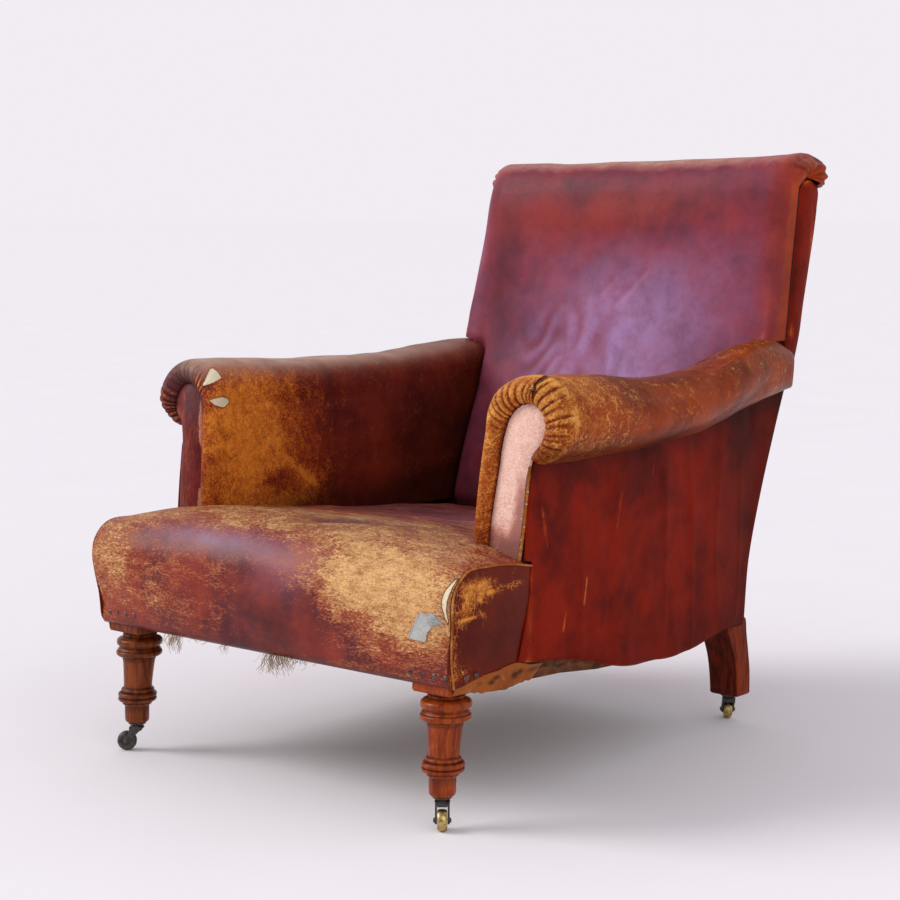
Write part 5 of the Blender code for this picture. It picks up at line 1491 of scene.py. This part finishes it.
outside_masks = {
    "wear": spots(
        outside, 0.2,
        ((0.0, 0.7, 0.165), (0.4, 0.1, 0.012), 0.24),
        ((-0.12, 0.8, 0.52), (0.03, 0.1, 0.006), 0.26),
        ((0.16, 0.75, 0.38), (0.006, 0.1, 0.04), 0.24),
        ((0.05, 0.87, 0.79), (0.26, 0.05, 0.02), 0.12),
    ),
    "haze_and_sheen": spots(outside, 0.05, ((0.0, 0.78, 0.45), (0.18, 0.2, 0.15), 0.18)),
    "dirt_and_shade": spots(outside, 0.08, ((0.0, 0.7, 0.19), (0.4, 0.1, 0.03), 0.3)),
}
skin(
    "outside_back_hide", outside, SIDE_HIDE, outside_masks, thickness=0.002,
    stands_for=("outside_back",),
)


# ---------------------------------------------------------------- tears, linings and nails
def tree_of(grid, keep=None):
    """Search tree of a cover's outer face, for laying small pieces on it."""
    shape = Shape()
    shape.grid(grid, keep)
    return BVHTree.FromPolygons(shape.points, shape.faces)


def land(tree, start, direction):
    """(point, normal) where a ray meets the cover; the normal faces the ray's start."""
    place, normal, _, _ = tree.ray_cast(Vector(start), Vector(direction).normalized())
    if place is None:
        raise ValueError(f"nothing to lay a piece on from {tuple(start)} towards {tuple(direction)}")
    return place, -normal if normal.dot(Vector(direction)) > 0 else normal


def ragged(outline, count, amount, seed):
    """A closed outline with this many points and an uneven edge."""
    outline = np.array([*outline, outline[0]], float)
    run = lengths_along(outline)
    points = read_off(np.linspace(0, run[-1], count + 1)[:-1], run, outline)
    draw = np.random.RandomState(seed)
    wobble = draw.uniform(-1, 1, (count, 2)) * 0.5
    wobble += np.roll(wobble, 1, axis=0) + np.roll(wobble, 2, axis=0) * 0.5
    points = (points + np.roll(points, 1, axis=0) + np.roll(points, -1, axis=0)) / 3
    return points + wobble * amount


TEAR_POINTS = 70
TEAR_RINGS = (1.0, 0.92, 0.8, 0.65, 0.5, 0.35, 0.2, 0.08)


def tear(name, tree, outline, start, direction, lining, lip_surface, lift=0.0005, lip=0.001, seed=1):
    """A torn place: the lining shows, flush with the cover, inside a curled lip of leather."""
    outline = ragged(outline, TEAR_POINTS, lip * 0.7, seed)
    middle = outline.mean(axis=0)
    shape, edge, rows = Shape(), [], []
    for share in TEAR_RINGS:
        laid = [land(tree, start(a, b), direction) for a, b in middle + (outline - middle) * share]
        rows.append([place + normal * lift for place, normal in laid])
        edge = edge or [place + normal * (lift + lip * 0.35) for place, normal in laid]
    shape.grid(np.array(rows), closed=True)
    last = (len(TEAR_RINGS) - 1) * TEAR_POINTS
    shape.faces.append([last + k for k in range(TEAR_POINTS)])
    new_piece(name + "_lining", shape, lining, sharp=0)
    rim = Shape()
    ks = np.arange(TEAR_POINTS + 1)
    curl = 0.65 + 0.5 * np.abs(np.sin(0.37 * ks + seed)) * np.abs(np.cos(1.1 * ks))
    rim.tube(np.array([*edge, edge[0]]), lip * curl, sides=8, ends=False)
    points = np.array(rim.points)
    rim.masks = {"wear": 0.42 + 0.2 * lumps(points, 120, seed), "dirt_and_shade": np.full(len(points), 0.35)}
    new_piece(name + "_lip", rim, lip_surface)


seat_tree = tree_of(seat, seat_keep)
HOLE = [
    (0.2655, 0.249), (0.27, 0.254), (0.2743, 0.2653), (0.2812, 0.2765), (0.2843, 0.2812), (0.2905, 0.277),
    (0.2991, 0.2815), (0.3078, 0.2754), (0.3159, 0.269), (0.3085, 0.2695), (0.3016, 0.2653), (0.2929, 0.2552),
    (0.2917, 0.244), (0.2768, 0.2451), (0.2694, 0.2451),
]
before_seat = lambda a, b: (a, -0.2, b)
INTO_SEAT = (0, 1, 0)
tear("seat_hole", seat_tree, HOLE, before_seat, INTO_SEAT, LINEN, LINEN, lip=0.0007, seed=3)
CRESCENT = [
    (0.325, 0.268), (0.3245, 0.2746), (0.322, 0.2845), (0.3222, 0.2943), (0.3238, 0.3086), (0.325, 0.3197),
    (0.3252, 0.3252), (0.3205, 0.319), (0.3164, 0.3108), (0.3142, 0.2987), (0.3164, 0.2856), (0.3214, 0.2746),
]
tear(
    "seat_edge_tear", seat_tree, CRESCENT, before_seat, INTO_SEAT, CREAM, TAN_HIDE,
    lip=0.0006, seed=5,
)

# Frayed threads over the hole.
shape = Shape()
for k in range(26):
    a, b = 0.293 + 0.018 * rng.random(), 0.269 + 0.011 * rng.random()
    angle = radians(rng.uniform(-70, 30))
    thread = []
    for share in np.linspace(0, 1, 6):
        x = a + share * 0.012 * cos(angle) + 0.0012 * sin(5 * share + k)
        z = b + share * 0.012 * sin(angle) + 0.001 * cos(4 * share + 2 * k)
        place, normal = land(seat_tree, before_seat(min(x, 0.325), z), INTO_SEAT)
        thread.append(place + normal * (0.0009 + 0.0012 * sin(pi * share)))
    shape.tube(np.array(thread), 0.00022, sides=5)
new_piece("seat_hole_threads", shape, LINEN)

# The tears at the left arm's front, as outlines that are laid on slantwise from the front right.
INNER_TEARS = (
    ((0.0985, 0.5232), (0.1085, 0.539), (0.1135, 0.547), (0.1205, 0.5485), (0.129, 0.542), (0.1382, 0.5325),
     (0.13, 0.529), (0.1241, 0.5275), (0.1122, 0.5238)),
    ((0.1119, 0.5015), (0.119, 0.5035), (0.1276, 0.5047), (0.139, 0.505), (0.1495, 0.5025), (0.151, 0.498),
     (0.1493, 0.4937), (0.143, 0.4895), (0.1373, 0.4887), (0.129, 0.4915), (0.1215, 0.4942)),
)
SLANT = Vector((-0.73, 0.679, -0.08))
left_tree = tree_of(arm_grids[-1])
for k, outline in enumerate(INNER_TEARS):
    tear(
        f"arm_tear_{k + 1}", left_tree, outline, lambda a, b: Vector((-0.25, a, b)) - 0.05 * SLANT, SLANT,
        CREAM, TAN_HIDE, lip=0.0007, seed=11 + k,
    )
# A curved slit at the top of the right arm's gathers; its opening is a dark lining of painted shade.
TOP_SLIT = [
    (0.3435, 0.5645), (0.338, 0.5652), (0.3345, 0.5615), (0.3342, 0.555), (0.3346, 0.547), (0.3342, 0.5385),
    (0.337, 0.538), (0.3384, 0.547), (0.3388, 0.554), (0.3405, 0.559), (0.3445, 0.5618),
]
SLIT_DEPTH = ((0.536, 0.555, 0.5645), (0.121, 0.126, 0.144))
TO_SLIT = Vector((-0.61, 0.787, -0.085))


def before_slit(a, b):
    return Vector((a, float(np.interp(b, *SLIT_DEPTH)), b)) - 0.05 * TO_SLIT


tear(
    "arm_tear_top", tree_of(arm_grids[1]), TOP_SLIT, before_slit, TO_SLIT, SHADOW, ARM_HIDE,
    lift=0.0003, lip=0.0008, seed=17,
)

NAIL_DOME = [
    (0.0, 0.002), (0.001, 0.0019), (0.0021, 0.0016), (0.0031, 0.0011), (0.0038, 0.0005), (0.0041, -0.0002),
    (0.0041, -0.0008), (0.0, -0.0008),
]
FRONT_NAILS = (
    (0.266, 0.2025), (0.285, 0.2022), (0.304, 0.2018), (0.3215, 0.2015),
    (-0.251, 0.2075), (-0.271, 0.2068), (-0.29, 0.2058), (-0.307, 0.205),
)
shape = Shape()
for x, z in FRONT_NAILS:
    place, normal = land(seat_tree, before_seat(x, z), INTO_SEAT)
    shape.lathe(NAIL_DOME, 20, place, facing_along(normal))
for name, side in SIDES:
    for y in (-0.002, 0.019):
        shape.lathe(NAIL_DOME, 20, (side * (WING_X + 0.0032), y, 0.1985), facing_along((side, 0, 0)))
new_piece("cover_nails", shape, NAIL, sharp=0)

# Horsehair that has worked out under the front edge, in tufts of (middle, spread, drop, count).
TUFTS = (
    (-0.178, 0.012, 0.027, 60), (-0.077, 0.006, 0.014, 14), (0.013, 0.012, 0.032, 70),
    (0.036, 0.018, 0.023, 60), (0.07, 0.018, 0.013, 24), (-0.13, 0.03, 0.009, 14),
)
shape = Shape()
for middle, spread, drop, count in TUFTS:
    for _ in range(count):
        x = rng.gauss(middle, spread * 0.6)
        y = -0.026 + rng.uniform(-0.006, 0.008)
        z = 0.1905 + rng.uniform(-0.002, 0.005)
        length = drop * rng.uniform(0.5, 1.15)
        turn, curl, lean = rng.uniform(0, 6.3), rng.uniform(2.0, 6.0), rng.uniform(-0.7, 0.7)
        hair = []
        for share in np.linspace(0, 1, 9):
            swing = 0.0035 * share**0.7
            hair.append((
                x + swing * cos(turn + curl * share) + lean * length * share * 0.8,
                y + swing * sin(turn + curl * share) - 0.003 * share,
                z - length * share * (1 - 0.25 * abs(lean) * share),
            ))
        shape.tube(np.array(hair), 0.0002, sides=4)
new_piece("loose_horsehair", shape, HAIR)


# ---------------------------------------------------------------- wooden legs
LEG = [
    (0.0, 0.042), (0.0146, 0.042), (0.0165, 0.0436), (0.0173, 0.0465), (0.0175, 0.056), (0.0175, 0.0656),
    (0.0184, 0.067), (0.0203, 0.0684), (0.0211, 0.0698), (0.0208, 0.0712), (0.0222, 0.0724), (0.0258, 0.0736),
    (0.0273, 0.075), (0.0278, 0.0766), (0.0273, 0.078), (0.0254, 0.0788), (0.0264, 0.0799), (0.0276, 0.0813),
    (0.0279, 0.083), (0.0272, 0.0848), (0.025, 0.0862), (0.0225, 0.0868), (0.0233, 0.0879), (0.0238, 0.0893),
    (0.0234, 0.0908), (0.0221, 0.0919), (0.0205, 0.093), (0.0202, 0.096), (0.0204, 0.102), (0.021, 0.111),
    (0.0219, 0.121), (0.0228, 0.13), (0.0232, 0.1336), (0.0241, 0.1348), (0.0244, 0.136), (0.024, 0.1372),
    (0.0263, 0.1382), (0.03, 0.1393), (0.0322, 0.141), (0.033, 0.1432), (0.0329, 0.1452), (0.032, 0.1467),
    (0.0306, 0.1474), (0.0311, 0.1483), (0.0305, 0.1496), (0.0289, 0.1506), (0.0283, 0.1521), (0.029, 0.1537),
    (0.0309, 0.1547), (0.0323, 0.1562), (0.0329, 0.1584), (0.0328, 0.161), (0.0319, 0.1632), (0.0299, 0.1648),
    (0.026, 0.166), (0.0237, 0.1668), (0.0231, 0.1677), (0.024, 0.1686), (0.0246, 0.1698), (0.0242, 0.1711),
    (0.0232, 0.1722), (0.0232, 0.1765), (0.0, 0.1765),
]
# Each groove's height and width.
GROOVES = (
    (0.0664, 0.0011), (0.0715, 0.001), (0.0788, 0.0007), (0.0867, 0.001), (0.093, 0.0012), (0.1342, 0.001),
    (0.1375, 0.0009), (0.1475, 0.0007), (0.152, 0.0012), (0.1672, 0.001), (0.1722, 0.0012),
)


def leg_grime(points):
    """Old polish and dirt, thick in the grooves of the turning."""
    height = np.array(points)[:, 2]
    return np.clip(sum(bell(height, z, width) for z, width in GROOVES) + 0.05, 0, 1)


LEAN, FRONT_LEG_X, BLOCK_HALF = 0.077, 0.29, 0.032


def front_leg(name, side):
    shape = Shape()
    shape.lathe(LEG, 72, (side * FRONT_LEG_X, 0, 0), lean=LEAN)
    shear = Matrix(((1, 0, 0, 0), (0, 1, LEAN, 0), (0, 0, 1, 0), (0, 0, 0, 1)))
    low, high = (-BLOCK_HALF, -BLOCK_HALF, 0.1755), (BLOCK_HALF, BLOCK_HALF, 0.262)
    shape.block(low, high, 0.0022, 3, shear, (side * FRONT_LEG_X, -LEAN * LEAN_START, 0))
    shape.masks = {"dust": leg_grime(shape.points)}
    surface = LEG_WOOD if side > 0 else DARK_LEG_WOOD
    leg = new_piece("turned_leg_" + name, shape, surface, weld=0, sharp=38)
    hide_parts("front_leg_" + name)


FOOT_Z, LEG_TOP_Z = 0.042, 0.842
LEG_FRONT = ((0.042, 0.075, 0.101, 0.134, 0.155, 0.25), (0.6825, 0.679, 0.6735, 0.66, 0.65, 0.655))
LEG_REAR = ((0.042, 0.08, 0.111, 0.151, 0.17), (0.7185, 0.718, 0.713, 0.7065, 0.7075))
LEG_BEND, CORNER_STEPS = 0.0026, 8


def back_leg_ring(z, side):
    """Outline of a curved back leg at this height, with rounded corners."""
    outer, inner = 0.2935 - 0.0035 * float(step(z, 0.15, 0.175)), 0.244 + 0.006 * float(step(z, 0.46, 0.55))
    front = float(table(z, *LEG_FRONT)) if z < 0.25 else float(post_front_y(z))
    rear = float(table(z, *LEG_REAR)) if z < 0.17 else float(rear_y(z)) - 0.0034
    trim = 0.003 * (1 - min(1.0, (z - FOOT_Z) / 0.003)) ** 2
    half_x, half_y = (outer - inner) / 2 - trim, (rear - front) / 2 - trim
    ring = []
    for quarter, (to_x, to_y) in enumerate(((1, 1), (-1, 1), (-1, -1), (1, -1))):
        for turn in np.radians(np.linspace(0, 90, CORNER_STEPS) + 90 * quarter):
            ring.append((
                side * ((outer + inner) / 2 + (half_x - LEG_BEND) * to_x + LEG_BEND * cos(turn)),
                (front + rear) / 2 + (half_y - LEG_BEND) * to_y + LEG_BEND * sin(turn),
                z,
            ))
    return ring


def back_leg(name, side):
    foot = FOOT_Z + np.array((0, 0.0004, 0.0014, 0.003))
    heights = np.concatenate([foot, np.linspace(0.048, 0.16, 40), np.linspace(0.17, LEG_TOP_Z, 30)])
    shape = Shape()
    shape.grid(np.array([back_leg_ring(z, side) for z in heights]), closed=True)
    count = 4 * CORNER_STEPS
    last = (len(heights) - 1) * count
    shape.faces += [list(range(count)), [last + k for k in range(count)]]
    shape.masks = {"dust": 0.2 + 0.6 * (1 - step(np.array(shape.points)[:, 2], FOOT_Z, 0.056))}
    leg = new_piece("curved_leg_" + name, shape, BACK_LEG_WOOD, weld=0, sharp=45)
    # The outer faces take the lighter copy of the wood, as painted light on the side that faces out.
    leg.data.materials.append(LIT_LEG_SIDE_WOOD)
    for face in leg.data.polygons:
        face.material_index = int(side * face.normal.x > 0.8)
    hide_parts("back_leg_" + name)


for name, side in SIDES:
    front_leg(name, side)
    back_leg(name, side)


# ---------------------------------------------------------------- castors
TRAIL, WHEEL_R, AXLE_R, HALF_AXLE = 0.015, 0.014, 0.0018, 0.0066
PLATE = [
    (0.0034, 0.0387), (0.0112, 0.0387), (0.0124, 0.0392), (0.0127, 0.04), (0.0127, 0.0409), (0.012, 0.0416),
    (0.0034, 0.0417),
]
CROWN = [
    (0.0, 0.0318), (0.006, 0.0318), (0.0092, 0.0326), (0.0101, 0.034), (0.0098, 0.0352), (0.0084, 0.0362),
    (0.008, 0.0372), (0.0088, 0.038), (0.0088, 0.0384), (0.003, 0.0384), (0.003, 0.058), (0.0, 0.058),
]
WHEEL = [
    (0.0023, -0.0064), (0.0048, -0.0064), (0.0056, -0.0058), (0.0078, -0.0054), (0.0096, -0.0062),
    (0.0112, -0.0064), (0.0126, -0.0056), (0.0137, -0.0036), (0.0141, 0.0),
]
CHEEK = [
    (-0.0075, 0.0352), (0.0075, 0.0352), (0.0108, 0.031), (0.0128, 0.025), (0.017, 0.0196), (0.02, 0.016),
    (0.02, 0.0122), (0.0172, 0.0092), (0.0128, 0.0092), (0.01, 0.0122), (0.0075, 0.018), (0.002, 0.0235),
    (-0.003, 0.028),
]
BOSS = [(0.0, 0.0116), (0.0018, 0.0115), (0.003, 0.0108), (0.0034, 0.0098), (0.0034, 0.0088), (0.0, 0.0088)]
# Across the cheek: how far each ring is drawn in towards its middle, and how far out it lies.
CHEEK_RINGS = ((0.0003, 0.0068), (0.0, 0.0072), (0.0, 0.0085), (0.00025, 0.0091), (0.0012, 0.0093))
CHEEK_POINTS = 63


def cheek(shape, side, spin, foot):
    """One cheek of the fork, with the boss that holds the axle."""
    outline = ring_through(CHEEK, CHEEK_POINTS)
    middle = np.column_stack([0.004 + (0.024 - outline[:, 1]) * 0.6, outline[:, 1]])
    pull = middle - outline
    pull /= np.maximum(np.linalg.norm(pull, axis=1, keepdims=True), 1e-9)
    rows = [
        [spin @ Vector((a, side * across, b)) + foot for a, b in outline + pull * inset]
        for inset, across in CHEEK_RINGS
    ]
    start = len(shape.points)
    shape.grid(np.array(rows), closed=True)
    last = start + (len(CHEEK_RINGS) - 1) * CHEEK_POINTS
    shape.faces += [[first + k for k in range(CHEEK_POINTS)] for first in (start, last)]
    turn = spin @ Matrix.Rotation(-side * pi / 2, 3, "X")
    shape.lathe(BOSS, 24, spin @ Vector((TRAIL, 0, WHEEL_R)) + foot, turn)


def castor(name):
    foot = middle_of("castor_plate_" + name)
    away = middle_of("castor_wheel_" + name) - foot
    spin = Matrix.Rotation(np.arctan2(away.y, away.x), 3, "Z")
    foot = Vector((foot.x, foot.y, 0))
    hub = spin @ Vector((TRAIL, 0, WHEEL_R)) + foot
    across = spin @ Matrix.Rotation(pi / 2, 3, "X")
    swivel = "swivel_" + name

    cup = Shape()
    cup.lathe([*PLATE, PLATE[0]], 40, foot)
    made = new_piece("castor_cup_" + name, cup, DULL_BRASS, shift=False)
    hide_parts("castor_plate_" + name)

    fork = Shape()
    fork.lathe(CROWN, 40, foot)
    fork.block((-0.007, -0.0074, 0.029), (0.0112, 0.0074, 0.0353), 0.0012, 2, spin.to_4x4(), foot)
    for side in (-1, 1):
        cheek(fork, side, spin, foot)
    made = new_piece("castor_fork_" + name, fork, IRON, body=swivel, shift=False)
    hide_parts("castor_horn_" + name)

    roller = Shape()
    rim = WHEEL + [(radius, -place) for radius, place in WHEEL[-2::-1]]
    roller.lathe([*rim, rim[0]], 56, hub, across)
    surface = DARK_WHEEL if name == "front_left" else BRASS
    made = new_piece("castor_roller_" + name, roller, surface, body="wheel_" + name, shift=False)
    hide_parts("castor_wheel_" + name)

    axle = Shape()
    profile = [(0.0, -HALF_AXLE), (AXLE_R, -HALF_AXLE), (AXLE_R, HALF_AXLE), (0.0, HALF_AXLE)]
    axle.lathe(profile, 24, hub, across)
    made = new_piece("castor_pin_" + name, axle, IRON, body=swivel, shift=False)
    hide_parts("castor_axle_" + name)


for name in ("front_left", "front_right", "back_left", "back_right"):
    castor(name)


# ---------------------------------------------------------------- finishes of the pieces that stay
for names, surface in (
    (("side_rail_left", "side_rail_right", "arm_rail_left", "arm_rail_right"), RAIL_WOOD),
    (("front_rail", "back_rail", "lower_back_rail", "crest_rail"), CROSS_WOOD),
    (("arm_post_left", "arm_post_right"), CROSS_WOOD),
    (("seat_webbing", "back_webbing"), JUTE),
    (("spring_canvas",), CANVAS),
    (tuple(f"seat_spring_{k}" for k in range(1, 10)), STEEL),
):
    for name in names:
        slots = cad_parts[name].data.materials
        slots.clear()
        slots.append(surface)


# ---------------------------------------------------------------- floor, light and camera
def plain(name, colour, roughness):
    p = Paint(name, roughness)
    shade = p.mix(p.ramp(p.noise(3, 2), 0.3, 0.7), colour, tuple(c * 0.985 for c in colour))
    return p.done(shade)


FLOOR = plain("pale_floor", (0.893, 0.853, 0.898), 0.9)
FLOOR_REACH = 300.0
corners = [(-1, -1), (1, -1), (1, 1), (-1, 1)]
mesh = bpy.data.meshes.new("floor")
mesh.from_pydata([(a * FLOOR_REACH, b * FLOOR_REACH, 0) for a, b in corners], [], [(0, 1, 2, 3)])
mesh.materials.append(FLOOR)
in_scene("floor", mesh)

world = bpy.data.worlds.new("studio")
bpy.context.scene.world = world
world.use_nodes = True
tree = world.node_tree
background = tree.nodes["Background"]
set_inputs(background, Color=(0.97, 0.97, 1.0, 1.0), Strength=0.72)
seen = tree.nodes.new("ShaderNodeBackground")
set_inputs(seen, Color=(0.885, 0.845, 0.89, 1.0), Strength=1.0)
path = tree.nodes.new("ShaderNodeLightPath")
choose = tree.nodes.new("ShaderNodeMixShader")
tree.links.new(path.outputs["Is Camera Ray"], choose.inputs[0])
tree.links.new(background.outputs[0], choose.inputs[1])
tree.links.new(seen.outputs[0], choose.inputs[2])
tree.links.new(choose.outputs[0], tree.nodes["World Output"].inputs["Surface"])


def lamp(name, kind, place, direction, **settings):
    data = bpy.data.lights.new(name, kind)
    for key, value in settings.items():
        setattr(data, key, value)
    made = in_scene(name, data)
    made.location = place
    made.rotation_euler = Vector(direction).to_track_quat("-Z", "Y").to_euler()


lamp("window", "SUN", (0, 0, 0), (0.7, 0.52, -0.62), energy=1.6, angle=radians(28), color=(1.0, 0.985, 0.97))
lamp(
    "room", "AREA", (2.6, -1.4, 1.7), (-2.5, 1.4, -1.35), shape="SQUARE", size=2.0, energy=10,
    color=(1.0, 0.97, 0.95),
)

AZIMUTH, PITCH = 40.346, 6.579  # degrees, from the chair's front and below the level
lens = bpy.data.cameras.new("camera")
lens.lens, lens.sensor_width = 80.83, 36.0
lens.clip_start, lens.clip_end = 0.05, 1000
camera = in_scene("camera", lens)
camera.location = (1.9022, -2.3123, 0.7654)
camera.rotation_euler = (radians(90 - PITCH), 0, radians(AZIMUTH))
bpy.context.scene.camera = camera
bpy.context.scene.view_settings.view_transform = "Standard"
